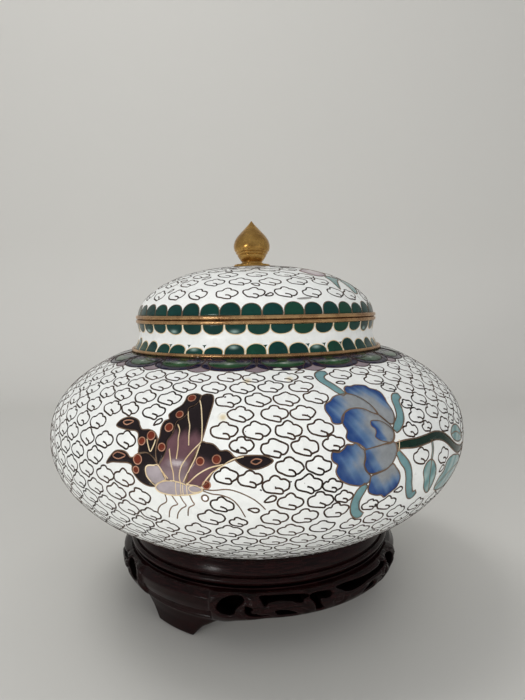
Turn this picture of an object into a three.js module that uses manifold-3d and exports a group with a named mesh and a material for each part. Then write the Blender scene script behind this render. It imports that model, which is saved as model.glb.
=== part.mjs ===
// A squat cloisonné ginger jar with a domed lid and a brass finial, resting in a carved wooden stand on three feet.
// Millimetres and degrees, +Z up. The origin is on the table, under the middle of the jar.
// An azimuth of 0 degrees faces the front (-Y) and grows towards +X.
import * as THREE from "three";
import { mergeVertices } from "three/addons/utils/BufferGeometryUtils.js";
import Module from "manifold-3d";

// Facets of every turned piece, and the clearance between neighbouring pieces
const SEGMENTS = 44;
const SMALL_SEGMENTS = 20;
const GAP = 0.3;

// Jar body: enamel on copper, its belly two half ellipses that meet at the widest circle
const WALL = 2;
const BELLY_RADIUS = 89.5;
const BELLY_HEIGHT = 73;
const SHOULDER_RISE = 43.8;
const SHOULDER_POWER = 2.3;
const BOWL_DROP = 50;
const BOWL_POWER = 2;
const FOOT_RING = { inner: 41, outer: 44.6, bottom: 27.8 };
const FLOOR_UNDERSIDE = 31;
// The shoulder flattens by a little just outside the neck
const NECK_DIP = { depth: 0.75, from: 62, to: 55 };
const NECK_TOP = 119.7;
const NECK_FOOT_RADIUS = 54.3;
const NECK_INNER = 50.2;
// Outside of the neck as [radius, height], flaring to its foot and its mouth
const NECK = [[54.2, 109.2], [53.4, 110.5], [52.7, 112.2], [52.1, 115.3], [52.6, 118], [52.9, NECK_TOP]];

// Brass rings: one round the foot of the neck, one on the mouth, one under the lid
const NECK_RING = { inner: 54.6, outer: 55.7, bottom: 108.25, top: 109.25 };
const RIM_OUTER = 53.6;
const MOUTH_RIM = { inner: 50.3, bottom: NECK_TOP + GAP, top: 121.2 };
const LID_RIM = { inner: 49, flange: 49.9, flangeBottom: 116.8, bottom: 121.5, top: 122.7 };

// Lid: a dome flatter on top than an ellipse
const LID_BASE = LID_RIM.top + GAP;
const LID_RADIUS = 52.5;
const LID_RISE = 21;
const LID_PROFILE_POWER = 1.7;
const LID_CROWN_POWER = 2.45;

// Finial: a turned brass bud on a thin washer, set a little off the middle of the lid
const FINIAL_SHIFT = -1.4;
const WASHER = { radius: 8.2, bottom: LID_BASE + LID_RISE + GAP, thickness: 0.8 };
const FINIAL_BOTTOM = WASHER.bottom + WASHER.thickness + GAP;
const FINIAL_TIP = 164.7;
const FINIAL_BASE_BEAD = 4.9;
const FINIAL_STEPS = 18;
// Side of the bud as [radius, height], from its waist over the widest circle to just under the tip
const FINIAL_SIDE = [
  [4.5, 146.4], [5.9, 148.1], [7.15, 149.9], [8.05, 151.6], [8.2, 152.8],
  [7.75, 155.1], [6.7, 157], [4.5, 159.7], [2.1, 162.3], [1, 163.5],
];

// Stand: a moulded seat ring with a plate, an apron under it and three bracket feet
const SEAT_FLOOR = 27.4;
const PLATE_UNDERSIDE = 22.2;
const APRON_BOTTOM = 10.9;
const APRON_INNER = 51;
const FIRST_PANEL_AZIMUTH = -34;
// Each foot sits a little off the middle of its panel, in degrees
const FOOT_OFFSETS = [-4.3, 4, 0];
const FOOT_INNER_BOTTOM = 48.6;
const FOOT_OUTER_BOTTOM = 55.3;
const FOOT_OVERLAP = 3;
const FOOT_CUT_DEPTH = 25;
// Side of a foot as [half width, height], spreading into the apron like a bracket
const FOOT_SIDE = [[8.8, 0], [9.8, 0.8], [11.2, 2.4], [13.8, 5], [17, 7], [20.4, 9], [23.4, 10.3]];
// Outside of the stand as [radius, height] from the apron's lower edge to the inside of the lip:
// bead and groove, panel face, sloping shoulder, deep groove, bead, sloping lip, seat
const STAND_MOULDING = [
  [58.4, APRON_BOTTOM], [59.3, 12.6], [58.9, 14.2],
  [61.2, 17.6], [61.7, 20.9], [58.2, 24.1],
  [55.9, 25.1], [55.9, 25.9],
  [58.3, 27], [58.3, 28.2], [56.9, 29.2],
  [55.3, 32], [54.7, 32.7], [53.7, 32.6],
  [50.6, 30], [50, SEAT_FLOOR],
];

// Carved bay between two panels: a band proud of them, over a lower edge that rises from each foot;
// the lower edge is [azimuth from the bay's middle, height] and mirrored
const BAY_HALF_ANGLE = 43;
const BAY_INNER = 56;
const BAY_BAND = [[60.4, 13.6], [62.2, 16.2], [62.7, 19.5], [62, 22.2], [58.4, 23.7]];
const BAY_LOWER_EDGE = [[-39, 10.6], [-36, 12.2], [-30, 13.1], [-24.6, 14.2]];

// Deep carving of a bay, with a wall left behind it: each hole is drawn as azimuth from the bay's middle and height;
// the end holes are mirrored, the scroll holes run one way
const PIERCING_RADIUS = 61;
const PIERCING_DEPTH = 14;
const END_HOLES = [
  [[-41, 17.6], [-40.3, 20], [-38.2, 22], [-35.2, 23], [-32.2, 22.8], [-31.6, 21], [-34.5, 17.6], [-37, 15.4]],
  [[-21, 17], [-19.4, 17.5], [-16.2, 16.9], [-13.6, 15.5], [-20, 15.6]],
];
const SCROLL_HOLES = [
  [[-26.3, 23], [-16, 22.9], [-10.9, 22.4], [-9.4, 21.2], [-11.4, 19.6], [-15.4, 20.5], [-23, 20.5], [-24.5, 19.4]],
  [[-8.7, 21.6], [-6.4, 22], [-1.6, 21.4], [-0.7, 19.7], [-4.9, 19.6], [-5, 17.6], [-3.8, 15.7], [-6.3, 15.7], [-7.1, 18.1]],
  [[1.4, 22], [8.8, 22.2], [22.9, 21.6], [28, 22], [30.4, 20.6], [16.2, 19.7], [8.2, 18.9], [3.1, 20.7]],
];

const ENAMEL = new THREE.MeshStandardMaterial({ color: 0xe2e4de, roughness: 0.3, metalness: 0 });
const BRASS = new THREE.MeshStandardMaterial({ color: 0xa88548, roughness: 0.35, metalness: 1 });
const ROSEWOOD = new THREE.MeshStandardMaterial({ color: 0x2a1714, roughness: 0.4, metalness: 0 });

const wasm = await Module();
wasm.setup();

const radians = THREE.MathUtils.degToRad;

// Numbers from a to b in so many equal steps, both ends included.
function steps(a, b, count) {
  return Array.from({ length: count + 1 }, (_, i) => a + ((b - a) * i) / count);
}

// A turned solid whose profile of [radius, height] pairs runs up the outside.
function turned(profile, segments = SEGMENTS) {
  const points = profile.map(([radius, height]) => new THREE.Vector2(radius, height));
  return new THREE.LatheGeometry(points, segments).rotateX(Math.PI / 2);
}

// A turned ring: its profile closes on itself.
function turnedRing(profile) {
  return turned([...profile, profile[0]]);
}

function toSolid(geometry) {
  const bare = geometry.clone();
  bare.deleteAttribute("normal");
  bare.deleteAttribute("uv");
  const merged = mergeVertices(bare, 1e-4);
  return new wasm.Manifold(
    new wasm.Mesh({
      numProp: 3,
      vertProperties: new Float32Array(merged.attributes.position.array),
      triVerts: new Uint32Array(merged.index.array),
    }),
  );
}

function toGeometry(solid) {
  const mesh = solid.getMesh();
  const geometry = new THREE.BufferGeometry();
  geometry.setAttribute("position", new THREE.BufferAttribute(mesh.vertProperties, mesh.numProp));
  geometry.setIndex(new THREE.BufferAttribute(mesh.triVerts, 1));
  geometry.computeVertexNormals();
  return geometry;
}

function named(name, geometry, material) {
  const mesh = new THREE.Mesh(geometry, material);
  mesh.name = name;
  return mesh;
}

// Height of the belly's surface at a radius, on the shoulder or on the bowl, for the outside or the inside.
function shoulderHeight(radius, wall) {
  const share = 1 - (radius / (BELLY_RADIUS - wall)) ** 2;
  const dip = NECK_DIP.depth * THREE.MathUtils.smoothstep(NECK_DIP.from - radius, 0, NECK_DIP.from - NECK_DIP.to);
  return BELLY_HEIGHT + (SHOULDER_RISE - wall) * share ** (1 / SHOULDER_POWER) - dip;
}

function bowlHeight(radius, wall) {
  const share = 1 - (radius / (BELLY_RADIUS - wall)) ** 2;
  return BELLY_HEIGHT - (BOWL_DROP - wall) * share ** (1 / BOWL_POWER);
}

// Belly profile from the foot up to the neck, dense where it curves most.
function bellyProfile(footRadius, neckRadius, wall, count) {
  const widest = BELLY_RADIUS - wall;
  const bowl = steps(Math.asin(footRadius / widest), Math.PI / 2, count)
    .map((a) => widest * Math.sin(a))
    .map((radius) => [radius, bowlHeight(radius, wall)]);
  const shoulder = steps(Math.PI / 2, Math.asin(neckRadius / widest), count)
    .slice(1)
    .map((a) => widest * Math.sin(a))
    .map((radius) => [radius, shoulderHeight(radius, wall)]);
  return [...bowl, ...shoulder];
}

function jarBody() {
  const floor = FLOOR_UNDERSIDE + WALL;
  const inside = bellyProfile(FOOT_RING.outer + WALL, NECK_INNER, WALL, 5)
    .filter(([, height]) => height > floor)
    .reverse();
  return turned([
    [0, FLOOR_UNDERSIDE],
    [FOOT_RING.inner - 1, FLOOR_UNDERSIDE],
    [FOOT_RING.inner, FOOT_RING.bottom],
    [FOOT_RING.outer, FOOT_RING.bottom],
    ...bellyProfile(FOOT_RING.outer + 1, NECK_FOOT_RADIUS, 0, 7),
    ...NECK,
    [NECK_INNER, NECK_TOP],
    ...inside,
    [FOOT_RING.outer + WALL, floor],
    [0, floor],
  ]);
}

// A half-round moulding ring between two heights.
function beadRing({ inner, outer, bottom, top }) {
  const round = (top - bottom) / 2;
  const middle = (top + bottom) / 2;
  return turnedRing([
    [inner, bottom],
    [outer - round / 2, bottom],
    [outer, middle],
    [outer - round / 2, top],
    [inner, top],
  ]);
}

function lidRim() {
  const { inner, flange, flangeBottom, bottom, top } = LID_RIM;
  const round = (top - bottom) / 4;
  return turnedRing([
    [inner, flangeBottom],
    [flange, flangeBottom],
    [flange, bottom],
    [RIM_OUTER - round, bottom],
    [RIM_OUTER, (bottom + top) / 2],
    [RIM_OUTER - round, top],
    [inner, top],
  ]);
}

// Dome profile from its base to its crown, outside or inside.
function domeProfile(wall, count) {
  return steps(0, Math.PI / 2, count).map((a) => {
    const rise = Math.sin(a);
    const share = Math.max(0, 1 - rise ** LID_PROFILE_POWER);
    return [(LID_RADIUS - wall) * share ** (1 / LID_CROWN_POWER), LID_BASE + (LID_RISE - wall) * rise];
  });
}

function lid() {
  return turned([...domeProfile(WALL, 6).reverse(), ...domeProfile(0, 8)]);
}

function washer() {
  const { radius, bottom, thickness } = WASHER;
  const top = bottom + thickness;
  return turned(
    [
      [0, bottom],
      [radius - 0.3, bottom],
      [radius, bottom + thickness / 2],
      [radius - 0.3, top],
      [0, top],
    ],
    SMALL_SEGMENTS,
  );
}

// The bud swells from a beaded waist to its widest circle and draws in to a point.
function finial() {
  const base = [[0, FINIAL_BOTTOM], [FINIAL_BASE_BEAD, FINIAL_BOTTOM], [FINIAL_BASE_BEAD, FINIAL_BOTTOM + 0.6]];
  const curve = new THREE.SplineCurve(FINIAL_SIDE.map(([radius, height]) => new THREE.Vector2(radius, height)));
  const side = curve.getPoints(FINIAL_STEPS).map(({ x, y }) => [x, y]);
  return turned([...base, ...side, [0, FINIAL_TIP]], SMALL_SEGMENTS);
}

// Seat ring, plate and apron in one profile: hollow under the plate, a lip that cradles the jar on top.
function standRing() {
  return turned([
    [0, PLATE_UNDERSIDE],
    [APRON_INNER - 0.4, PLATE_UNDERSIDE],
    [APRON_INNER, APRON_BOTTOM],
    ...STAND_MOULDING,
    [0, SEAT_FLOOR],
  ]);
}

// A flat outline of [across, height] pairs pushed out along the front, from one radius to another.
function frontPrism(outline, fromRadius, depth) {
  const shape = new THREE.Shape(outline.map(([across, height]) => new THREE.Vector2(across, height)));
  return new THREE.ExtrudeGeometry(shape, { depth, bevelEnabled: false })
    .rotateX(Math.PI / 2)
    .translate(0, -fromRadius, 0);
}

// The same outline at an azimuth round the stand.
function prismAt(outline, azimuth, fromRadius, depth) {
  return toSolid(frontPrism(outline, fromRadius, depth).rotateZ(radians(azimuth)));
}

// Bracket foot: set back under the apron, narrowing towards the table.
function standFoot(azimuth) {
  const top = APRON_BOTTOM + FOOT_OVERLAP;
  const band = toSolid(
    turnedRing([
      [FOOT_INNER_BOTTOM, 0],
      [FOOT_OUTER_BOTTOM - 0.6, 0],
      [FOOT_OUTER_BOTTOM, 0.8],
      [55.5, 5.5],
      [56.2, 9.2],
      [58, top],
      [APRON_INNER + 0.3, top],
      [52.4, 7.5],
    ]),
  );
  const side = [...FOOT_SIDE, [FOOT_SIDE.at(-1)[0] + 0.8, top]];
  const outline = [...side, ...side.map(([across, height]) => [-across, height]).reverse()];
  return band.intersect(prismAt(outline, azimuth, FOOT_OUTER_BOTTOM - FOOT_CUT_DEPTH / 2, FOOT_CUT_DEPTH));
}

// One hole, given by azimuths from the middle of a bay, as a prism through the apron.
function piercing(hole, bayAzimuth, side) {
  const middle = hole.reduce((sum, [azimuth]) => sum + azimuth, 0) / hole.length;
  const outline = hole.map(([azimuth, height]) => [
    side * PIERCING_RADIUS * Math.sin(radians(azimuth - middle)),
    height,
  ]);
  return prismAt(outline, bayAzimuth + side * middle, PIERCING_RADIUS - PIERCING_DEPTH / 2, PIERCING_DEPTH);
}

// The proud band of one bay.
function bayBand(bayAzimuth) {
  const [low, high] = [BAY_BAND[0][1], BAY_BAND.at(-1)[1]];
  const ring = toSolid(turnedRing([[BAY_INNER, low], ...BAY_BAND, [BAY_INNER, high]]));
  const half = BAY_BAND[2][0] * Math.sin(radians(BAY_HALF_ANGLE));
  const window = [[-half, low - 1], [half, low - 1], [half, high + 1], [-half, high + 1]];
  return ring.intersect(prismAt(window, bayAzimuth, 0, 2 * PIERCING_RADIUS));
}

// What is cut away under one bay, up to its lower edge.
function bayCut(bayAzimuth) {
  const left = BAY_LOWER_EDGE.map(([azimuth, height]) => [PIERCING_RADIUS * Math.sin(radians(azimuth)), height]);
  const right = left.map(([across, height]) => [-across, height]).reverse();
  const below = APRON_BOTTOM - 2;
  const outline = [[left[0][0], below], ...left, ...right, [right.at(-1)[0], below]].reverse();
  return prismAt(outline, bayAzimuth, 0, 2 * PIERCING_RADIUS);
}

function stand() {
  const pitch = 360 / FOOT_OFFSETS.length;
  const panels = FOOT_OFFSETS.map((_, i) => FIRST_PANEL_AZIMUTH + i * pitch);
  let solid = toSolid(standRing());
  for (const panel of panels) {
    const bay = panel + pitch / 2;
    solid = solid.add(bayBand(bay)).subtract(bayCut(bay));
    for (const hole of SCROLL_HOLES) solid = solid.subtract(piercing(hole, bay, 1));
    for (const hole of END_HOLES)
      for (const side of [1, -1]) solid = solid.subtract(piercing(hole, bay, side));
  }
  panels.forEach((panel, i) => {
    solid = solid.add(standFoot(panel + FOOT_OFFSETS[i]));
  });
  return toGeometry(solid);
}

const jar = new THREE.Group();
jar.add(
  named("jar_body", jarBody(), ENAMEL),
  named("neck_ring", beadRing(NECK_RING), BRASS),
  named("mouth_rim", beadRing({ ...MOUTH_RIM, outer: RIM_OUTER }), BRASS),
);

const cover = new THREE.Group();
const knob = new THREE.Group();
knob.position.x = FINIAL_SHIFT;
knob.add(named("finial_washer", washer(), BRASS), named("finial", finial(), BRASS));
cover.add(named("lid", lid(), ENAMEL), named("lid_rim", lidRim(), BRASS), knob);

const gingerJar = new THREE.Group();
gingerJar.add(jar, cover, named("stand", stand(), ROSEWOOD));

export default gingerJar;
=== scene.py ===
"""Looks of a squat cloisonné ginger jar on its carved stand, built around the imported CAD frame.

Sizes are in millimetres and turn into metres where a mesh is made. Azimuth 0 faces the front (-Y) and
grows towards +X. A motif is drawn flat, in millimetres along and up the wall, and laid on the turned
surface from its anchor, so that every wire and enamel cell follows the jar's curve.
"""

from __future__ import annotations

import logging
import math
import random
from collections.abc import Callable, Sequence
from dataclasses import dataclass, field
from enum import Enum

import bmesh
import bpy
import numpy as np
from mathutils import Matrix, Vector
from mathutils.geometry import delaunay_2d_cdt

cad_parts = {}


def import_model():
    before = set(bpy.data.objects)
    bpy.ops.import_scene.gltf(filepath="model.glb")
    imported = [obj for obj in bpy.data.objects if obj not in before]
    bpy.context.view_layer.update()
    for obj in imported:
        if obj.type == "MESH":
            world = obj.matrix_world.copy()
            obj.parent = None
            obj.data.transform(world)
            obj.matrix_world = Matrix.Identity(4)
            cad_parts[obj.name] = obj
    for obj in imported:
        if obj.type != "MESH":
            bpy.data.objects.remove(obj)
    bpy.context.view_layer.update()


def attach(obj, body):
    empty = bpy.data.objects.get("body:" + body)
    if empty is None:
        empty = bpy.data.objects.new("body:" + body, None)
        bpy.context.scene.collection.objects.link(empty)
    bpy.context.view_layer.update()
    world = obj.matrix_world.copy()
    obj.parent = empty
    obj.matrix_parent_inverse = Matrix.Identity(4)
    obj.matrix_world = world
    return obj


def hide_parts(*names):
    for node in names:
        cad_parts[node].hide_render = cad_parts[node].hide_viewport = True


LOG = logging.getLogger("ginger_jar")

MM = 0.001
BODY = "root"
SEED = 11
TINT = "tint"
WHITE = (1.0, 1.0, 1.0)

# Step along a profile for its slope, and depth of an enamel cell's skirt, in millimetres.
SLOPE_STEP = 0.1
SKIRT_DEPTH = 0.08
# Height of an even triangle, and the room that inner points leave at an edge, as shares of a side.
ROW_SHARE = 0.866
EDGE_ROOM = 0.4

Flat = Sequence[tuple[float, float]]
Flats = Sequence[Flat]
Triple = tuple[float, float, float]
Spots = Sequence[Triple]
Colour = Triple
Array = np.ndarray
ColourAt = Callable[[Array], Array]
Swell = Callable[[Array], Array]
Material = bpy.types.Material
Tree = bpy.types.NodeTree
Node = bpy.types.Node
Socket = bpy.types.NodeSocket


def srgb(code: str) -> Colour:
    """Scene-linear colour of a six-digit display code.

    Args:
        code: Hexadecimal red, green and blue.

    Returns:
        The colour as three linear numbers.
    """
    values = [int(code[i : i + 2], 16) / 255 for i in (0, 2, 4)]
    linear = [v / 12.92 if v <= 0.04045 else ((v + 0.055) / 1.055) ** 2.4 for v in values]
    return linear[0], linear[1], linear[2]


def ease(low: float, high: float, values: Array) -> Array:
    """Smooth step from 0 at low to 1 at high."""
    share = np.clip((values - low) / (high - low), 0, 1)
    return share * share * (3 - 2 * share)


def mixed(first: Colour, second: Colour, share: Array) -> Array:
    """Row of colours from the first at share 0 to the second at share 1."""
    return np.outer(1 - share, first) + np.outer(share, second)


def even(colour: Colour) -> ColourAt:
    """Colour rule that is the same everywhere."""
    return lambda points: np.tile(np.array(colour), (len(points), 1))


def smooth(points: Flat, closed: bool, steps: int = 4) -> Array:
    """Smooth curve through given points.

    Args:
        points: Points that the curve passes.
        closed: True if the last point joins the first.
        steps: Stretches between two neighbouring points.

    Returns:
        Points along the curve; a closed one doesn't repeat its first point.
    """
    given = np.array(points, float)
    if closed:
        padded = np.vstack([given[-1:], given, given[:2]])
    else:
        padded = np.vstack([2 * given[:1] - given[1:2], given, 2 * given[-1:] - given[-2:-1]])
    shares = np.arange(steps) / steps
    rows = []
    for a, b, c, d in zip(padded, padded[1:], padded[2:], padded[3:]):
        for t in shares:
            square = (2 * a - 5 * b + 4 * c - d) * t**2
            cube = (3 * b - a - 3 * c + d) * t**3
            rows.append(0.5 * (2 * b + (c - a) * t + square + cube))
    if not closed:
        rows.append(given[-1])
    return np.array(rows)


def inside(points: Array, outline: Array) -> Array:
    """Which points lie inside a closed outline.

    Args:
        points: Points to test.
        outline: Corners of the outline in order.

    Returns:
        True for each point inside.
    """
    x, y = points[:, 0:1], points[:, 1:2]
    x0, y0 = outline[:, 0], outline[:, 1]
    x1, y1 = np.roll(x0, -1), np.roll(y0, -1)
    spans = (y0 > y) != (y1 > y)
    rise = np.where(y1 == y0, 1e-12, y1 - y0)
    crossings = spans & (x < (x1 - x0) * (y - y0) / rise + x0)
    return crossings.sum(1) % 2 == 1


def distance_to(points: Array, line: Array, closed: bool) -> Array:
    """Shortest distance from each point to a line of straight stretches.

    Args:
        points: Points to measure from.
        line: Corners of the line in order.
        closed: True if the last corner joins the first.

    Returns:
        Distance of each point.
    """
    ends = np.roll(line, -1, 0) if closed else line[1:]
    starts = line if closed else line[:-1]
    along = ends - starts
    length = np.maximum((along**2).sum(1), 1e-12)
    away = points[:, None, :] - starts[None]
    share = np.clip((away * along).sum(2) / length, 0, 1)
    return np.sqrt(((away - share[..., None] * along) ** 2).sum(2).min(1))


def nearest_turn(angle: Array) -> Array:
    """The same angle in radians, brought within half a turn of zero."""
    return (angle + math.pi) % (2 * math.pi) - math.pi


def around(radius: Array, azimuth: Array, height: Array) -> Array:
    """Points at radii, azimuths in radians and heights."""
    return np.stack([radius * np.sin(azimuth), -radius * np.cos(azimuth), height], -1)


def set_out(name: str, data: bpy.types.ID) -> bpy.types.Object:
    """Puts a new object of this name and data in the scene.

    Args:
        name: Name of the object.
        data: Its mesh, light or camera.

    Returns:
        The object.
    """
    made = bpy.data.objects.new(name, data)
    bpy.context.scene.collection.objects.link(made)
    return made


@dataclass
class TurnedSurface:
    """A surface turned about the upright axis, unrolled by the length along its profile."""

    profile: Array
    from_widest: bool = False
    lengths: Array = field(init=False)

    def __post_init__(self) -> None:
        """Measures the length along the profile, from its start or from the widest circle."""
        steps = np.hypot(*np.diff(self.profile, axis=0).T)
        self.lengths = np.concatenate([[0], np.cumsum(steps)])
        if self.from_widest:
            self.lengths -= self.lengths[np.argmax(self.profile[:, 0])]

    def at(self, length: Array) -> tuple[Array, Array]:
        """Radius and height at a length along the profile."""
        radius = np.interp(length, self.lengths, self.profile[:, 0])
        return radius, np.interp(length, self.lengths, self.profile[:, 1])

    def place(self, azimuth: Array, length: Array, lift: Array | float = 0.0) -> Array:
        """Points on the surface, or a little above it.

        Args:
            azimuth: Azimuths in radians.
            length: Lengths along the profile.
            lift: Height above the surface.

        Returns:
            Array of points.
        """
        radius, height = self.at(length)
        before, after = self.at(length - SLOPE_STEP), self.at(length + SLOPE_STEP)
        out, up = after[1] - before[1], before[0] - after[0]
        size = np.maximum(np.hypot(out, up), 1e-9)
        radius = radius + lift * out / size
        height = height + lift * up / size
        return around(radius, azimuth, height)


@dataclass(frozen=True)
class Anchor:
    """Where a flat drawing is laid on a turned surface."""

    surface: TurnedSurface
    azimuth: float
    length: float
    scale: float = 1.0
    turn: float = 0.0

    def unroll(self, points: Array) -> tuple[Array, Array]:
        """Lays flat points on the surface.

        Args:
            points: Points of the flat drawing.

        Returns:
            Azimuths in radians, and profile lengths.
        """
        c, s = math.cos(math.radians(self.turn)), math.sin(math.radians(self.turn))
        x = self.scale * (c * points[:, 0] - s * points[:, 1])
        length = self.length + self.scale * (s * points[:, 0] + c * points[:, 1])
        radius, _ = self.surface.at(length)
        return math.radians(self.azimuth) + x / np.maximum(radius, 0.5), length

    def flatten(self, azimuth: Array, length: Array) -> Array:
        """Takes points of the surface back to the flat drawing.

        Args:
            azimuth: Azimuths in radians.
            length: Profile lengths.

        Returns:
            Points of the flat drawing.
        """
        radius, _ = self.surface.at(length)
        x = nearest_turn(azimuth - math.radians(self.azimuth))
        flat = np.stack([x * radius, length - self.length], -1) / self.scale
        c, s = math.cos(math.radians(-self.turn)), math.sin(math.radians(-self.turn))
        return flat @ np.array([[c, s], [-s, c]])


class Sheet:
    """Vertices, faces, tints and finishes gathered for one piece."""

    def __init__(self, name: str) -> None:
        """Starts an empty sheet.

        Args:
            name: Name of the piece.
        """
        self.name = name
        self.points: list[Array] = []
        self.tints: list[Array] = []
        self.faces: list[list[int]] = []
        self.slots: list[int] = []
        self.count = 0

    def add(self, points: Array, faces: Sequence[Sequence[int]], tint: Array | Colour,
            slot: int = 0) -> None:
        """Adds points in millimetres and faces between them.

        Args:
            points: New points.
            faces: Corners of each face, counted from the first new point.
            tint: One colour, or one for each point.
            slot: Which of the piece's finishes the faces wear.
        """
        self.points.append(points)
        self.tints.append(np.broadcast_to(tint, points.shape))
        self.faces.extend([i + self.count for i in face] for face in faces)
        self.slots.extend([slot] * len(faces))
        self.count += len(points)

    def piece(self, finishes: Sequence[Material], slot: str, *replaced: str,
              weld: float = 0.0) -> None:
        """Makes the piece and lets it ride on the part's body.

        Args:
            finishes: Materials in the order of the faces' slots.
            slot: Material slot of the record; not used.
            replaced: CAD nodes that the piece stands for.
            weld: Points closer than this become one.
        """
        mesh = bpy.data.meshes.new(self.name)
        mesh.from_pydata((np.vstack(self.points) * MM).tolist(), [], self.faces)
        tint = mesh.color_attributes.new(TINT, "FLOAT_COLOR", "POINT")
        rows = np.hstack([np.vstack(self.tints), np.ones((self.count, 1))])
        tint.data.foreach_set("color", rows.astype(np.float32).ravel())
        for finish in finishes:
            mesh.materials.append(finish)
        mesh.polygons.foreach_set("material_index", self.slots)
        mesh.polygons.foreach_set("use_smooth", [True] * len(self.faces))
        if weld:
            mended = bmesh.new()
            mended.from_mesh(mesh)
            bmesh.ops.remove_doubles(mended, verts=mended.verts, dist=weld * MM)
            mended.to_mesh(mesh)
            mended.free()
        mesh.update()
        made = set_out(self.name, mesh)
        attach(made, BODY)
        if replaced:
            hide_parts(*replaced)
        LOG.info("%s: %d faces", self.name, len(self.faces))


def turn_profile(sheet: Sheet, profile: Array, segments: int, closed: bool, shift: float = 0.0,
                 swell: Swell | None = None, slot: int = 0) -> None:
    """Adds a turned body to a sheet.

    Args:
        sheet: Sheet that takes the body.
        profile: Radius and height of each point, running up the outside.
        segments: Facets round the axis.
        closed: True for a ring, whose profile closes on itself.
        shift: How far the axis lies towards +X.
        swell: Change of radius by azimuth in radians, if the turning isn't true.
        slot: Which of the piece's finishes the body wears.
    """
    rows = len(profile)
    azimuth = np.linspace(0, 2 * math.pi, segments, endpoint=False)
    extra = swell(azimuth) if swell else np.zeros(segments)
    radius = profile[:, 0:1] + np.where(profile[:, 0:1] > 0, extra[None], 0)
    points = around(radius, azimuth, np.repeat(profile[:, 1:2], segments, 1))
    points[..., 0] += shift
    last = rows if closed else rows - 1
    faces = []
    for i in range(last):
        low, high = i * segments, ((i + 1) % rows) * segments
        for j in range(segments):
            k = (j + 1) % segments
            if profile[i][0] == 0:
                faces.append([low, high + k, high + j])
            elif profile[(i + 1) % rows][0] == 0:
                faces.append([low + j, low + k, high])
            else:
                faces.append([low + j, low + k, high + k, high + j])
    used = np.unique(np.concatenate([np.array(face) for face in faces]))
    new = np.full(rows * segments, -1)
    new[used] = np.arange(len(used))
    sheet.add(points.reshape(-1, 3)[used], [[int(new[i]) for i in face] for face in faces], WHITE, slot)


@dataclass(frozen=True)
class WireGauge:
    """Section of a flat wire soldered on edge: the width that shows, and how far it stands proud."""

    width: float
    crown: float
    cover: float = 0.0
    bury: float = 0.04

    def half_foot(self) -> float:
        """Half the width of the wire's foot, down in the wall."""
        return self.width / 2 * (self.crown + self.bury) / (self.crown - self.cover)


CLOUD_WIRE = WireGauge(width=0.58, crown=0.1)
LEG_WIRE = WireGauge(width=0.4, crown=0.06)
FINE_WIRE = WireGauge(width=0.26, crown=0.14, cover=0.06)
VEIN_WIRE = WireGauge(width=0.31, crown=0.15, cover=0.06)
OUTLINE_WIRE = WireGauge(width=0.36, crown=0.16, cover=0.06)


class Wire(Enum):
    """Finishes of the wires, in the order of a wire piece's slots."""

    DARK = 0
    GOLD = 1
    COPPER = 2
    BROWN = 3


class Layer(Enum):
    """Millimetres that enamel stands above the wall, so that cells laid over others show."""

    STAIN = 0.012
    SMEAR = 0.02
    FIRST = 0.03
    SECOND = 0.04
    BETWEEN = 0.045
    THIRD = 0.05
    FOURTH = 0.06
    FIFTH = 0.07
    SIXTH = 0.08
    TOP = 0.09


def lay_wire(sheet: Sheet, anchor: Anchor, path: Array, gauge: WireGauge, closed: bool,
             wire: Wire) -> None:
    """Lays a wire along a flat path as a low ridge.

    Args:
        sheet: Sheet that takes the wire.
        anchor: Where the drawing lies.
        path: Flat points along the wire.
        gauge: Section of the wire.
        closed: True if the wire meets its own start.
        wire: Finish of the wire.
    """
    if closed:
        along = np.roll(path, -1, 0) - np.roll(path, 1, 0)
    else:
        along = np.gradient(path, axis=0)
    along = along / np.maximum(np.hypot(along[:, 0], along[:, 1]), 1e-9)[:, None]
    side = np.stack([-along[:, 1], along[:, 0]], -1) * gauge.half_foot() / anchor.scale
    azimuth, length = anchor.unroll(np.vstack([path + side, path, path - side]))
    count = len(path)
    lift = np.repeat([-gauge.bury, gauge.crown, -gauge.bury], count)
    points = anchor.surface.place(azimuth, length, lift)
    faces = []
    for i in range(count if closed else count - 1):
        j = (i + 1) % count
        for row in (0, count):
            faces.append([row + i, row + count + i, row + count + j, row + j])
    sheet.add(points, faces, WHITE, wire.value)


def triangulate(outline: Array, holes: Sequence[Array], spacing: float) -> tuple[Array, Array]:
    """Even triangles over a flat area.

    Args:
        outline: Corners of the area.
        holes: Corners of each hole in it.
        spacing: Distance between the inner points.

    Returns:
        Points, and the three corners of each triangle.
    """
    def within(points: Array) -> Array:
        """Which points lie in the outline and in none of the holes."""
        return inside(points, outline) & ~np.any([inside(points, hole) for hole in holes], 0)

    low, high = outline.min(0), outline.max(0)
    rows = np.arange(low[1] + spacing / 2, high[1], spacing * ROW_SHARE)
    grid = [
        (x, y)
        for i, y in enumerate(rows)
        for x in np.arange(low[0] + spacing * (0.25 + 0.5 * (i % 2)), high[0], spacing)
    ]
    loops = [outline, *holes]
    inner = np.array(grid, float).reshape(-1, 2)
    inner = inner[within(inner)]
    edges, start = [], 0
    for loop in loops:
        inner = inner[distance_to(inner, loop, True) > spacing * EDGE_ROOM]
        edges += [(start + i, start + (i + 1) % len(loop)) for i in range(len(loop))]
        start += len(loop)
    points = np.vstack([*loops, inner])
    made = delaunay_2d_cdt([Vector(p) for p in points], edges, [], 0, 1e-6)
    flat = np.array([tuple(p) for p in made[0]])
    triangles = np.array([list(face) for face in made[2]])
    triangles = triangles[within(flat[triangles].mean(1))]
    a, b, c = (flat[triangles[:, i]] for i in range(3))
    first, second = b - a, c - a
    turned = first[:, 0] * second[:, 1] - first[:, 1] * second[:, 0] < 0
    triangles[turned] = triangles[turned][:, ::-1]
    return flat, triangles


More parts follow.
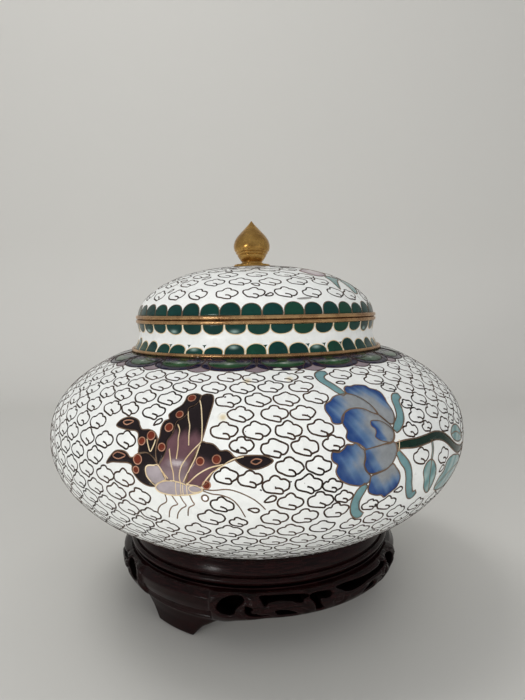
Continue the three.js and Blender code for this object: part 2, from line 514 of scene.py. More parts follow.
def border(triangles: Array) -> list[tuple[int, int]]:
    """Edges that only one triangle has.

    Args:
        triangles: Three corners of each triangle.

    Returns:
        Both ends of each edge, in its triangle's direction.
    """
    edges = [(int(t[i]), int(t[(i + 1) % 3])) for t in triangles for i in range(3)]
    known = set(edges)
    return [edge for edge in edges if (edge[1], edge[0]) not in known]


def lay_enamel(sheet: Sheet, anchor: Anchor, outline: Array, colour: ColourAt, layer: Layer,
               spacing: float = 1.0) -> None:
    """Fills an outline with enamel that stands a hair proud, with a skirt down into the wall.

    Args:
        sheet: Sheet that takes the enamel.
        anchor: Where the drawing lies.
        outline: Closed flat outline of the cell.
        colour: Colour at each flat point.
        layer: Height of the enamel above the wall.
        spacing: Size of its triangles.
    """
    flat, triangles = triangulate(outline, [], spacing)
    azimuth, length = anchor.unroll(flat)
    top = anchor.surface.place(azimuth, length, layer.value)
    foot = anchor.surface.place(azimuth, length, -SKIRT_DEPTH)
    rim = border(triangles)
    used = sorted({i for edge in rim for i in edge})
    below = {i: len(flat) + n for n, i in enumerate(used)}
    faces = [list(map(int, t)) for t in triangles]
    faces += [[b, a, below[a], below[b]] for a, b in rim]
    tint = colour(flat)
    sheet.add(np.vstack([top, foot[used]]), faces, np.vstack([tint, tint[used]]))


@dataclass(frozen=True)
class Kept:
    """A cell or a wire of a motif that the cloud ground keeps off."""

    anchor: Anchor
    line: Array
    closed: bool


@dataclass
class Drawing:
    """Sheets that a motif is drawn on, and the outlines that the cloud ground keeps out of."""

    enamel: Sheet
    wires: Sheet
    kept: list[Kept] = field(default_factory=list)

    def cell(self, anchor: Anchor, outline: Array, colour: ColourAt, layer: Layer,
             wire: Wire | None, gauge: WireGauge = OUTLINE_WIRE, spacing: float = 1.0) -> None:
        """Lays one enamel cell, which the cloud ground keeps out of, with the wire round it.

        Args:
            anchor: Where the drawing lies.
            outline: Closed flat outline.
            colour: Colour at each flat point.
            layer: Height of the enamel above the wall.
            wire: Finish of the wire, or None for no wire.
            gauge: Section of the wire.
            spacing: Size of the enamel's triangles.
        """
        lay_enamel(self.enamel, anchor, outline, colour, layer, spacing)
        if wire is not None:
            lay_wire(self.wires, anchor, outline, gauge, True, wire)
        self.kept.append(Kept(anchor, outline, True))

    def line(self, anchor: Anchor, points: Flat, wire: Wire, gauge: WireGauge = VEIN_WIRE,
             closed: bool = False, keep: bool = False) -> None:
        """Lays one wire through given points.

        Args:
            anchor: Where the drawing lies.
            points: Flat points that the wire passes.
            wire: Finish of the wire.
            gauge: Section of the wire.
            closed: True if the wire meets its own start.
            keep: True if the cloud ground keeps off the wire.
        """
        path = smooth(points, closed)
        lay_wire(self.wires, anchor, path, gauge, closed, wire)
        if keep:
            self.kept.append(Kept(anchor, path, closed))


def ribbon(points: Flat, width: float, tip: float = 0.35) -> Array:
    """Outline of a band along a curve, narrower at its two ends.

    Args:
        points: Points along the middle of the band.
        width: Full width.
        tip: Share of the width at the ends.

    Returns:
        Closed outline.
    """
    path = smooth(points, False, 5)
    along = np.gradient(path, axis=0)
    along /= np.hypot(along[:, 0], along[:, 1])[:, None]
    side = np.stack([-along[:, 1], along[:, 0]], -1)
    share = np.linspace(0, 1, len(path))
    half = width / 2 * (tip + (1 - tip) * np.clip(np.sin(math.pi * share) * 2.2, 0, 1))
    return np.vstack([path + side * half[:, None], (path - side * half[:, None])[::-1]])


def disc(x: float, y: float, radius: float, sides: int = 18) -> Array:
    """Outline of a round cell."""
    turn = np.linspace(0, 2 * math.pi, sides, endpoint=False)
    return np.stack([x + radius * np.cos(turn), y + radius * np.sin(turn)], -1)


@dataclass
class Butterfly:
    """A swallow-tailed butterfly seen from the side, wings up, drawn from the middle of its wings."""

    anchor: Anchor
    dark: Colour = srgb("1c1517")
    mauve: Colour = srgb("5e4349")
    lilac: Colour = srgb("9d9498")
    spot: Colour = srgb("642a1c")
    border: Flat = (
        (-3.4, 20.2), (-1.7, 21.2), (0.2, 21.1), (1.3, 20.2), (1.2, 18.4), (0.3, 16.6), (-1.6, 15.3),
        (-1.5, 13.3), (-2.6, 11.6), (-4.4, 10.2), (-4.7, 7.8), (-5.2, 5.8), (-6.4, 3.8), (-6.3, 1.6),
        (-7, -0.9), (-8.4, -3.3), (-9.4, -2.6), (-9.9, 0.3), (-9.8, 3), (-9.2, 5.2), (-9.3, 8),
        (-8.6, 10.2), (-7.2, 11), (-7.7, 12.6), (-6.2, 14.4), (-4.3, 16.2), (-3.6, 18.2),
    )
    forewing: Flat = (
        border[3], (2.6, 21.2), (4.5, 21), (5.5, 19.6), (5.9, 16.8), (5.7, 12), (5.3, 7.5), (4.7, 4),
        (3.2, 0.6), (1.4, -4.2), (0.4, -8.7), (-1.4, -8.3), (-4.4, -8), (-6.2, -7.6), (-7.4, -5.4),
        *border[15:3:-1],
    )
    right_wing: Flat = (
        (4.7, 4), (6.4, 3.9), (8.3, 3.6), (9.6, 2.7), (10.9, 1.6), (12.6, 1.8), (13.8, 1.3), (15, 0.1),
        (15.9, -0.6), (14.4, -1.4), (12.2, -2.3), (10, -3.6), (8.4, -5.6), (7.2, -7.9), (4.6, -9.2),
        (2.2, -8.9), (0.4, -8.7), (1.4, -4.2), (3.2, 0.6),
    )
    right_tail: Flat = (
        (15.5, -0.7), (17.3, 0.1), (20.5, 0.3), (24, 0.1), (26, -0.7), (26.8, -1.5), (25.4, -2.6),
        (22.8, -3.6), (20.4, -3.7), (18.2, -2.9), (16.4, -1.8),
    )
    left_upper: Flat = (
        (-9.8, 3), (-10.1, 4.9), (-11.5, 6.4), (-13.6, 7), (-16, 6.8), (-17.2, 7.9), (-18.3, 9.6),
        (-20.6, 10.4), (-23, 10.4), (-25.5, 9.3), (-27, 7.5), (-26.4, 6.8), (-24, 6.4), (-21, 6.2),
        (-18.4, 6.2), (-17.1, 5.2), (-16.9, 3.2), (-16.2, 1.4), (-16, -0.6), (-13, -0.2), (-10.6, -1.4),
        (-9.2, -2.9), (-9.9, 0.3),
    )
    left_lower: Flat = (
        (-16, -0.6), (-17.6, -1.9), (-19.2, -2.2), (-20.6, -1), (-22.6, -0.5), (-25.4, -0.9),
        (-27.4, -2.6), (-29.3, -5.3), (-26.8, -4.6), (-23, -4.2), (-20, -4), (-18.4, -4.6),
        (-18.3, -6.1), (-17.2, -7.6), (-15.4, -9.2), (-13, -10.2), (-11, -10.4), (-9.7, -9.9),
        (-11.6, -8.6), (-12.9, -7), (-13.2, -5), (-12.4, -4), (-10.4, -3.8), (-8.8, -3.5), (-9.2, -2.9),
        (-10.6, -1.4), (-13, -0.2),
    )
    lobe: Flat = (
        (-13.2, -5), (-12.4, -4), (-10.4, -3.8), (-8.8, -3.6), (-7.4, -5.4), (-6.2, -7.6), (-7.6, -8.5),
        (-9, -9.3), (-9.7, -9.9), (-11.6, -8.6), (-12.9, -7),
    )
    abdomen: Flat = (
        (-9.7, -10.6), (-8.8, -9.3), (-7, -8.4), (-4.4, -8), (-1.6, -8.3), (0.5, -8.9), (2.4, -8.9),
        (4.6, -9.3), (5.6, -10.2), (4.4, -11.1), (1.5, -11.9), (-1.2, -12.3), (-4.2, -12.5),
        (-6.8, -12.3), (-8.8, -11.7),
    )
    veins: Flats = (
        ((1.3, 18.4), (2.4, 15.8), (3.4, 12.4), (4.2, 9), (4.7, 5.4), (4.7, 4)),
        ((-1.5, 14), (-0.8, 11.6), (0.2, 9), (0.5, 6), (0.9, 2.9)),
        ((-3.8, 9.3), (-2.8, 7.5), (-2.8, 5), (-2.5, 2), (-2.7, -1.3)),
        ((-5.3, 1.6), (-4.3, -3), (-3.6, -5.5), (-3.4, -8)),
        ((4.6, 4), (1.6, 0.6), (-0.8, -3), (-1.6, -6), (-1.3, -8.2)),
        ((4.6, 4), (3.3, -0.8), (1.2, -5), (-0.3, -8)),
        ((12, -2.4), (8, -3.4), (4.2, -5.6), (1, -8.6)),
        ((18, 0), (15, -0.8), (12.4, -2.3), (9, -4.6), (7, -6.8), (5.6, -8.8)),
        ((-8.7, -3.4), (-7.2, -5.4), (-5.4, -7.4)),
        ((-13.6, 4), (-12.8, 2), (-11.8, 0.3), (-10.9, 2.2), (-10.5, 4)),
    )
    teardrops: Flats = (
        ((-20.2, 9.2), (-22.6, 9.4), (-24.4, 8.6), (-22.6, 7.8)),
        ((-21.2, -1.8), (-24.6, -1.2), (-26.4, -2.6), (-24, -3.2)),
        ((23.4, -1.2), (21.6, -0.7), (20.3, -1.6), (21.8, -2.3)),
    )
    spots: Spots = (
        (-1.7, 19.3, 1.25), (-4.1, 12.8, 1.15), (-6.6, 8.2, 1.3), (-8, 1.9, 1.15), (-12.3, 5.2, 1.35),
        (-15.4, 3.2, 1.2), (-16.3, -2.5, 1.5), (-16.8, -5.8, 1.05), (4.9, -1.6, 1.15),
        (9.9, -0.9, 1.25), (6.9, -8.6, 1.2),
    )
    legs: Flats = (
        ((-6.7, -12.4), (-6.3, -14), (-6.6, -15.2), (-8.5, -16.5), (-9.7, -18), (-10.3, -19.8)),
        ((-4.5, -12.5), (-3.2, -14.6), (-2.8, -15.6), (-4.6, -16.5), (-5.8, -18.3), (-6.5, -21)),
        ((-1.7, -12.4), (-0.8, -14.3), (0, -15.8), (-1.6, -17), (-3, -18.8), (-3.8, -21.2)),
        ((1.4, -11.9), (2.2, -14), (2.7, -15.2), (1, -16.3), (0.4, -17.8), (0.1, -19.6)),
    )
    feelers: Flats = (
        ((5.4, -10.3), (8.3, -11.3), (11.5, -11.7), (14.5, -13), (16.5, -15.5), (18, -19.2)),
        ((5.4, -10), (9, -10.2), (13, -9.8), (16.5, -10.6), (20.5, -12.6), (22.8, -14.6),
         (24.3, -16.5)),
    )
    thorax: Flat = ((1.3, -10), (2, -9.2), (3.6, -9), (5, -9.6), (5.6, -10.3), (4, -11), (2.2, -11))
    tongue: Triple = (6.3, -12.8, 1)
    bands: Sequence[float] = (-2.8, -1.2, -0.5, 0.8)

    def forewing_colour(self, points: Array) -> Array:
        """Dark towards the tip, mauve in the field, paler near the body.

        Args:
            points: Flat points of the wing.

        Returns:
            Colour of each point.
        """
        fade = mixed(self.mauve, self.lilac, 0.45 * ease(0, -9, points[:, 1]))
        dark = ease(4.6, 8.2, points[:, 1] + 0.7 * np.sin(1.9 * points[:, 0]))
        return fade * (1 - dark)[:, None] + np.outer(dark, self.dark)

    def hindwing_colour(self, points: Array) -> Array:
        """Mauve near the body, dark towards the outer edge."""
        return mixed(self.mauve, self.dark, ease(-1.4, 2.4, 0.35 * points[:, 0] + points[:, 1]))

    def draw(self, drawing: Drawing) -> None:
        """Lays the wings, body, spots, veins, legs and feelers.

        Args:
            drawing: Sheets that take them.
        """
        at = self.anchor
        wings = [(self.left_upper, even(self.dark)), (self.left_lower, even(self.dark)),
                 (self.right_tail, even(self.dark)), (self.border, even(self.dark)),
                 (self.right_wing, self.hindwing_colour), (self.forewing, self.forewing_colour)]
        for outline, colour in wings:
            layer = Layer.THIRD if outline is self.forewing else Layer.SECOND
            drawing.cell(at, smooth(outline, True), colour, layer, Wire.BROWN, FINE_WIRE)
        drawing.cell(at, smooth(self.lobe, True), even(self.lilac), Layer.THIRD, Wire.GOLD)
        drawing.cell(at, smooth(self.abdomen, True), even(self.lilac), Layer.FOURTH, Wire.GOLD)
        for spot in self.spots:
            drawing.cell(at, disc(*spot), even(self.spot), Layer.FIFTH, Wire.COPPER, VEIN_WIRE, 0.7)
        for points in self.veins:
            drawing.line(at, points, Wire.GOLD)
        for points in self.teardrops:
            drawing.line(at, points, Wire.COPPER, closed=True)
        for x in self.bands:
            drawing.line(at, ((x, -8.3), (x - 0.1, -10.2), (x, -12.3)), Wire.GOLD, FINE_WIRE)
        drawing.line(at, self.thorax, Wire.GOLD, FINE_WIRE, closed=True)
        for points in (*self.legs, *self.feelers):
            drawing.line(at, points, Wire.BROWN, LEG_WIRE, keep=True)
        drawing.cell(at, disc(*self.tongue), even(WHITE), Layer.FIRST, Wire.BROWN, spacing=0.6)


@dataclass(frozen=True)
class Petal:
    """One petal: its outline, the stretch of it that is deep in colour, and how far in that reaches."""

    outline: Flat
    rim: tuple[int, int]
    reach: float
    layer: Layer

    def draw(self, drawing: Drawing, anchor: Anchor, deep: Colour, middle: Colour, pale: Colour) -> None:
        """Lays the petal, deep along its rim and pale inside.

        Args:
            drawing: Sheets that take it.
            anchor: Where the flower lies.
            deep: Colour of the rim.
            middle: Colour between the two.
            pale: Colour of the inside.
        """
        given = np.array(self.outline, float)
        order = np.arange(self.rim[0], self.rim[1] + 1) % len(given)
        rim = given[order]

        def colour(points: Array) -> Array:
            """Rim colour that fades inwards with a soft, uneven edge.

            Args:
                points: Flat points of the petal.

            Returns:
                Colour of each point.
            """
            x, y = points.T
            depth = distance_to(points, rim, False) + 0.5 * np.sin(2.1 * x + 1.3 * y)
            depth = depth + 0.25 * np.sin(5.3 * x - 4.1 * y)
            inner = mixed(middle, pale, ease(0.5 * self.reach, 1.3 * self.reach, depth))
            outer = ease(0.08 * self.reach, 0.75 * self.reach, depth)[:, None]
            return np.array(deep) * (1 - outer) + inner * outer

        drawing.cell(anchor, smooth(self.outline, True), colour, self.layer, Wire.BROWN, VEIN_WIRE)


PEONY_PETALS = (
    Petal(((-9.3, 21.4), (-9.4, 23.4), (-7.9, 24.8), (-6, 24.6), (-4.4, 25), (-2.4, 24.8), (-0.3, 24.2),
           (0.6, 22.8), (2.6, 21.8), (3.9, 20.4), (4.1, 18), (3.8, 16), (4.2, 13), (3.8, 10.5),
           (2.2, 8.4), (0, 9), (-2.4, 12.2), (-3, 15), (-5, 18.4), (-7.4, 20.6)),
           (1, 10), 4.6, Layer.FIRST),
    Petal(((-9.3, 21.4), (-12, 21.4), (-15, 20.6), (-17, 19), (-19.3, 17.8), (-20.3, 15.5), (-19.8, 13),
           (-19.8, 11), (-18, 10.5), (-16.3, 11.2), (-14, 14.4), (-10.5, 15.5), (-7, 14.9),
           (-4.5, 13.2), (-2.4, 12.2), (-3, 15), (-5, 18.4), (-7.4, 20.6)), (3, 8), 5.4, Layer.SECOND),
    Petal(((-23.2, 0.2), (-22.6, 2), (-20.6, 1.8), (-18.6, 2.8), (-17.4, 3.8), (-15.5, 3.6), (-14.2, 4),
           (-12.8, 2.5), (-11.6, 1.2), (-12, -1), (-12.4, -3), (-11.2, -5.5), (-10.2, -6.8),
           (-10.8, -8.5), (-13.4, -9.3), (-16, -8.9), (-18.6, -8), (-20.8, -6.5), (-22.2, -4),
           (-21.5, -2), (-22.6, -1)), (15, 24), 6.4, Layer.FIRST),
    Petal(((-10.4, -8.6), (-10.9, -10.5), (-10.5, -12), (-9, -13), (-7, -13.7), (-5.4, -13.9),
           (-4, -15), (-2.6, -14.2), (-1, -13.3), (0.8, -12), (1.8, -9.5), (1.4, -7.4), (0, -5.5),
           (-1.5, -4), (-4, -5.4), (-7.4, -6.2), (-10, -6.8)), (1, 9), 4.8, Layer.FIRST),
    Petal(((-16.2, 12.4), (-13.6, 14.5), (-10.5, 15.4), (-7, 14.8), (-4.5, 13.1), (-2.4, 12.2),
           (0, 9.2), (1.2, 6.6), (0.9, 4), (-1, 2.4), (-4, 2.4), (-9, 1.9), (-11, 1.8), (-12, 2.6),
           (-13.5, 3.8), (-16, 4.7), (-17, 6), (-16, 8), (-16.5, 10)), (14, 20), 6.6, Layer.THIRD),
    Petal(((-11.6, 1.4), (-9, 1.9), (-6, 2.2), (-3, 2.6), (0, 2.6), (1.3, 1.2), (0.3, -1.5),
           (-1.5, -3.8), (-4, -5.3), (-7, -5.8), (-9.8, -6), (-11.8, -5), (-12.4, -3), (-11.7, -1)),
           (10, 13), 4.6, Layer.BETWEEN),
    Petal(((-6.8, 9.6), (-6.1, 10.4), (-4.4, 10.3), (-2.4, 9.7), (-0.5, 8.2), (1, 6.2), (0.4, 4),
           (-1, 2.8), (-3.5, 3.2), (-5.5, 4), (-6.7, 5.2), (-6, 6.3), (-5.8, 7.5), (-6.8, 8.6)),
           (9, 14), 3, Layer.FIFTH),
)


@dataclass
class Peony:
    """A peony in profile with curling sepals, a stem and leaves, drawn from the foot of the flower."""

    anchor: Anchor
    deep: Colour = srgb("233f73")
    middle: Colour = srgb("557090")
    pale: Colour = srgb("83878a")
    sepal: Colour = srgb("698c90")
    stalk: Colour = srgb("08251a")
    leaf_deep: Colour = srgb("5d8789")
    leaf_pale: Colour = srgb("8fa6a4")
    sepals: Sequence[tuple[Flat, float]] = (
        (((-10.6, 21), (-12, 23.5), (-13.2, 26), (-14.5, 28.6), (-14.2, 31), (-12.6, 32.4),
         (-10.6, 32.6)), 3),
        (((11.6, 18), (9.4, 17.6), (8, 16), (7.5, 13.5), (6.3, 10), (3.8, 7.5), (1.8, 6)), 3.2),
        (((1, -0.6), (3, -3.5), (5, -6), (5.9, -9), (6.5, -13), (8, -16.4), (9.6, -17.4),
         (11.2, -16.4)), 3),
        (((-11.8, -9.2), (-14, -12), (-14.9, -15), (-14.3, -18), (-12.6, -20.1), (-10.8, -20.6)), 3),
    )
    stem: Flat = (
        (0.8, 1.2), (5, 1.2), (10, 0.8), (16, 1), (22, 1.2), (27, 0), (31, -2), (35, -4.5), (40, -7),
        (46, -8.6), (52, -8.4),
    )
    stem_width: float = 2.9
    leaf_stalk_width: float = 0.9
    stem_tick: Flat = ((1.4, -0.6), (2.1, 1), (2.6, 3))
    leaf_stalk: Flat = ((19.2, 0.2), (19.2, -3), (18.2, -6.4))
    leaves: Sequence[tuple[Flat, Flat]] = (
        (((18, -6.2), (15, -7), (13.5, -9.5), (14.5, -12.5), (15.5, -16), (18, -18.7), (20, -19),
         (21.5, -15), (21.8, -11), (20.5, -8)), ((18.2, -6.4), (17.8, -11), (18.6, -15),
         (19.8, -18.6))),
        (((34.6, -0.6), (36.6, 1.3), (40, 1.8), (44, 0.8), (48, -2), (50.4, -5), (46, -5.6), (41, -4.6),
         (37, -3)), ((35, -0.8), (40, -0.8), (45, -2.4), (50, -5))),
        (((30, -9.6), (35, -8.6), (41, -9.6), (47, -11.4), (51, -15), (47, -18.5), (41, -21), (33, -22),
         (26, -20.5), (23.8, -18), (25, -15), (28.4, -12.6)), ((24, -18), (31, -15.6), (39, -14.4),
         (50.6, -15))),
    )

    def leaf_colour(self, points: Array) -> Array:
        """Teal that pales in soft streaks."""
        share = 0.5 + 0.5 * np.sin(0.9 * points[:, 0] - 0.6 * points[:, 1])
        return mixed(self.leaf_deep, self.leaf_pale, share)

    def draw(self, drawing: Drawing) -> None:
        """Lays the sepals, stem and leaves, then the petals from back to front.

        Args:
            drawing: Sheets that take them.
        """
        at = self.anchor
        bands = [(ribbon(points, width, 0.6), self.sepal, Layer.FIRST) for points, width in self.sepals]
        bands.append((ribbon(self.leaf_stalk, self.leaf_stalk_width, 0.9), self.leaf_pale, Layer.FIRST))
        bands.append((ribbon(self.stem, self.stem_width, 0.7), self.stalk, Layer.SECOND))
        for outline, colour, layer in bands:
            drawing.cell(at, outline, even(colour), layer, Wire.BROWN, VEIN_WIRE)
        drawing.line(at, self.stem_tick, Wire.GOLD)
        for outline, rib in self.leaves:
            drawing.cell(at, smooth(outline, True), self.leaf_colour, Layer.FIRST, Wire.BROWN, VEIN_WIRE)
            drawing.line(at, rib, Wire.BROWN)
        for petal in PEONY_PETALS:
            petal.draw(drawing, at, self.deep, self.middle, self.pale)


class Clearance:
    """Distance from each spot of a turned surface to the nearest motif, on an unrolled grid."""

    def __init__(self, surface: TurnedSurface, step: float = 0.4, reach: float = 4.0) -> None:
        """Starts with no motif.

        Args:
            surface: Surface that the motifs lie on.
            step: Size of the grid's cells.
            reach: Largest distance worth knowing.
        """
        self.surface = surface
        self.step = step
        self.reach = reach
        self.low = float(surface.lengths[0])
        self.columns = round(2 * math.pi * float(surface.profile[:, 0].max()) / step)
        rows = int((float(surface.lengths[-1]) - self.low) / step) + 2
        self.field = np.full((rows, self.columns), reach)

    def keep_off(self, kept: Kept) -> None:
        """Marks one motif cell or wire.

        Args:
            kept: Cell or wire that the clouds keep off.
        """
        azimuth, length = kept.anchor.unroll(kept.line)
        rows = np.arange(
            max(0, math.floor((length.min() - self.reach - self.low) / self.step)),
            min(len(self.field), math.ceil((length.max() + self.reach - self.low) / self.step)),
        )
        lengths = self.low + rows * self.step
        spread = self.reach / max(5.0, float(self.surface.at(lengths)[0].min()))
        turn = self.columns / (2 * math.pi)
        left, right = (azimuth.min() - spread) * turn, (azimuth.max() + spread) * turn
        columns = np.arange(math.floor(left), math.ceil(right))
        across, up = np.meshgrid(columns / turn, lengths)
        points = kept.anchor.flatten(across.ravel(), up.ravel())
        away = distance_to(points, kept.line, kept.closed) * kept.anchor.scale
        if kept.closed:
            away = np.where(inside(points, kept.line), -away, away)
        where = np.ix_(rows, columns % self.columns)
        self.field[where] = np.minimum(self.field[where], away.reshape(across.shape))

    def at(self, azimuth: Array, length: Array) -> Array:
        """Distance to the nearest motif.

        Args:
            azimuth: Azimuths in radians.
            length: Profile lengths.

        Returns:
            Distance at each spot, negative inside a motif or off the surface.
        """
        rows = np.rint((length - self.low) / self.step).astype(int)
        outside = (rows < 0) | (rows >= len(self.field))
        columns = np.rint(azimuth * self.columns / (2 * math.pi)).astype(int) % self.columns
        return np.where(outside, -1.0, self.field[np.clip(rows, 0, len(self.field) - 1), columns])


@dataclass(frozen=True)
class Cloud:
    """One cloud or teardrop on the ground: where it is, its size, and the turn of its drawing."""

    azimuth: float
    length: float
    size: float
    turn: float
    drop: bool = False

    def anchor(self, surface: TurnedSurface) -> Anchor:
        """Where the cloud's drawing lies on a surface."""
        return Anchor(surface, math.degrees(self.azimuth), self.length, self.size, self.turn)

    def girth(self) -> float:
        """Size that counts when two clouds are kept apart."""
        return self.size * (0.5 if self.drop else 1)


@dataclass
class CloudGround:
    """Staggered rows of small wire clouds over the white enamel, kept off the motifs."""

    surface: TurnedSurface
    rows: Sequence[float]
    pitch: float
    kept: Sequence[Kept]
    seed: int
    margin: float = 0.4
    half_width: float = 4.45
    half_height: float = 3.05
    fillers: int = 5200
    drift_along: float = 0.07
    drift_up: float = 0.25
    easing_rounds: int = 24
    easing_push: float = 0.25
    row_room: float = 0.8
    moved_room: float = 0.93
    filler_room: float = 0.97
    unsteady: float = 0.09
    row_sizes: tuple[float, float] = (0.96, 1.03)
    row_turn: float = 6.0
    shifts: Sequence[float] = (1.2, 2.4, 3.6)
    shift_turn: int = 30
    shrinks: Sequence[float] = (1.0, 0.88, 0.76, 0.66)
    filler_sizes: tuple[float, float] = (0.6, 0.75)
    filler_turn: float = 14.0
    drop_sizes: tuple[float, float] = (0.7, 1.0)
    drop_turns: float = 3.0
    rows_below: float = 2.0
    rows_above: float = 3.0
    cloud: Flat = (
        (-0.4, -0.75), (0.9, -1.0), (1.75, -1.55), (1.8, -2.4), (1.1, -2.75), (-0.4, -2.45),
        (-2.0, -2.1), (-3.3, -1.5), (-4.1, -0.2), (-3.7, 1.05), (-2.5, 1.55), (-1.75, 1.75),
        (-1.3, 2.55), (-0.1, 2.95), (1.0, 2.5), (1.55, 1.85), (2.7, 1.65), (3.8, 0.95), (4.2, -0.1),
        (3.7, -1.2), (2.7, -1.75), (1.9, -1.95),
    )
    teardrop: Flat = (
        (-2.1, -0.1), (-0.6, 0.75), (0.9, 1.1), (2, 0.4), (1.8, -0.6), (0.5, -1), (-0.9, -0.7),
    )

    def __post_init__(self) -> None:
        """Prepares the random draws, the clearance from the motifs and the empty ground."""
        self.draws = random.Random(self.seed)
        self.clearance = Clearance(self.surface)
        for kept in self.kept:
            if kept.anchor.surface is self.surface:
                self.clearance.keep_off(kept)
        self.placed: list[Cloud] = []

    def seeds(self) -> Array:
        """Spots of the staggered rows, eased apart where two clouds crowd each other.

        Returns:
            Azimuth in radians and profile length of each spot.
        """
        spots = []
        for number, row in enumerate(self.rows):
            radius = float(self.surface.at(np.array(row))[0])
            count = max(3, round(2 * math.pi * radius / self.pitch))
            for i in range(count):
                jitter = self.draws.uniform(-self.drift_along, self.drift_along)
                spots.append((2 * math.pi * (i + 0.5 * (number % 2) + jitter) / count,
                              row + self.draws.uniform(-self.drift_up, self.drift_up)))
        spots = np.array(spots)
        for _ in range(self.easing_rounds):
            radius, _ = self.surface.at(spots[:, 1])
            gap = nearest_turn(spots[:, None, 0] - spots[None, :, 0])
            across = gap * (radius[:, None] + radius[None]) / 2
            up = spots[:, None, 1] - spots[None, :, 1]
            apart = np.hypot(across / (2 * self.half_width), up / (2 * self.half_height))
            push = np.where((apart < 1) & (apart > 0), (1 - apart) * self.easing_push, 0)
            spots[:, 0] += (push * across).sum(1) / np.maximum(radius, 1)
            spots[:, 1] += (push * up).sum(1)
        return spots

    def path(self, cloud: Cloud) -> tuple[Anchor, Array]:
        """Anchor and flat wire of a cloud."""
        shape = self.teardrop if cloud.drop else self.cloud
        return cloud.anchor(self.surface), np.array(shape)

    def fits(self, cloud: Cloud, room: float) -> bool:
        """True if a cloud keeps off the motifs and off the clouds laid before.

        Args:
            cloud: Cloud to try.
            room: Share of the usual distance that it has to keep from other clouds.

        Returns:
            Whether it fits.
        """
        anchor, points = self.path(cloud)
        azimuth, length = anchor.unroll(np.vstack([points, 0.5 * points, [[0, 0]]]))
        if self.clearance.at(azimuth, length).min() < self.margin:
            return False
        if not self.placed:
            return True
        others = np.array([(c.azimuth, c.length, c.girth()) for c in self.placed])
        radius = float(self.surface.at(np.array(cloud.length))[0])
        gap = nearest_turn(others[:, 0] - cloud.azimuth)
        size = others[:, 2] + cloud.girth()
        across = gap * radius / (self.half_width * size)
        up = (others[:, 1] - cloud.length) / (self.half_height * size)
        return bool(np.hypot(across, up).min() > room)

    def settle(self) -> None:
        """Places whole clouds, then shifted or smaller ones by the motifs, then fillers in the gaps."""
        crowded = []
        for azimuth, length in self.seeds():
            size = self.draws.uniform(*self.row_sizes)
            turn = self.draws.uniform(-self.row_turn, self.row_turn)
            cloud = Cloud(float(azimuth), float(length), size, turn)
            if self.fits(cloud, self.row_room):
                self.placed.append(cloud)
            else:
                crowded.append(cloud)
        ways = [math.radians(turn) for turn in range(0, 360, self.shift_turn)]
        moves = [(reach, way) for reach in self.shifts for way in ways]
        for cloud in crowded:
            radius = max(1.0, float(self.surface.at(np.array(cloud.length))[0]))
            for share in self.shrinks:
                tried = (
                    Cloud(cloud.azimuth + reach * math.cos(way) / radius,
                          cloud.length + reach * math.sin(way), cloud.size * share, cloud.turn)
                    for reach, way in moves
                )
                found = next((other for other in tried if self.fits(other, self.moved_room)), None)
                if found:
                    self.placed.append(found)
                    break
        low, high = min(self.rows) - self.rows_below, max(self.rows) + self.rows_above
        for number in range(self.fillers):
            cloud = Cloud(self.draws.uniform(0, 2 * math.pi), self.draws.uniform(low, high),
                          self.draws.uniform(*self.filler_sizes),
                          self.draws.uniform(-self.filler_turn, self.filler_turn))
            if number % 2:
                size, turn = self.draws.uniform(*self.drop_sizes), self.drop_turns * cloud.turn
                cloud = Cloud(cloud.azimuth, cloud.length, size, turn, drop=True)
            if self.fits(cloud, self.filler_room):
                self.placed.append(cloud)

    def draw(self, upper: Sheet, lower: Sheet, middle: float = 0.0) -> None:
        """Lays the wires of all clouds.

        Args:
            upper: Sheet for the clouds above the middle.
            lower: Sheet for the others.
            middle: Profile length that parts them.
        """
        self.settle()
        for cloud in self.placed:
            anchor, points = self.path(cloud)
            wobble = [[self.draws.gauss(0, self.unsteady) for _ in range(2)] for _ in points]
            path = smooth(points + np.array(wobble), cloud.drop, 3)
            sheet = upper if cloud.length > middle else lower
            lay_wire(sheet, anchor, path, CLOUD_WIRE, cloud.drop, Wire.DARK)


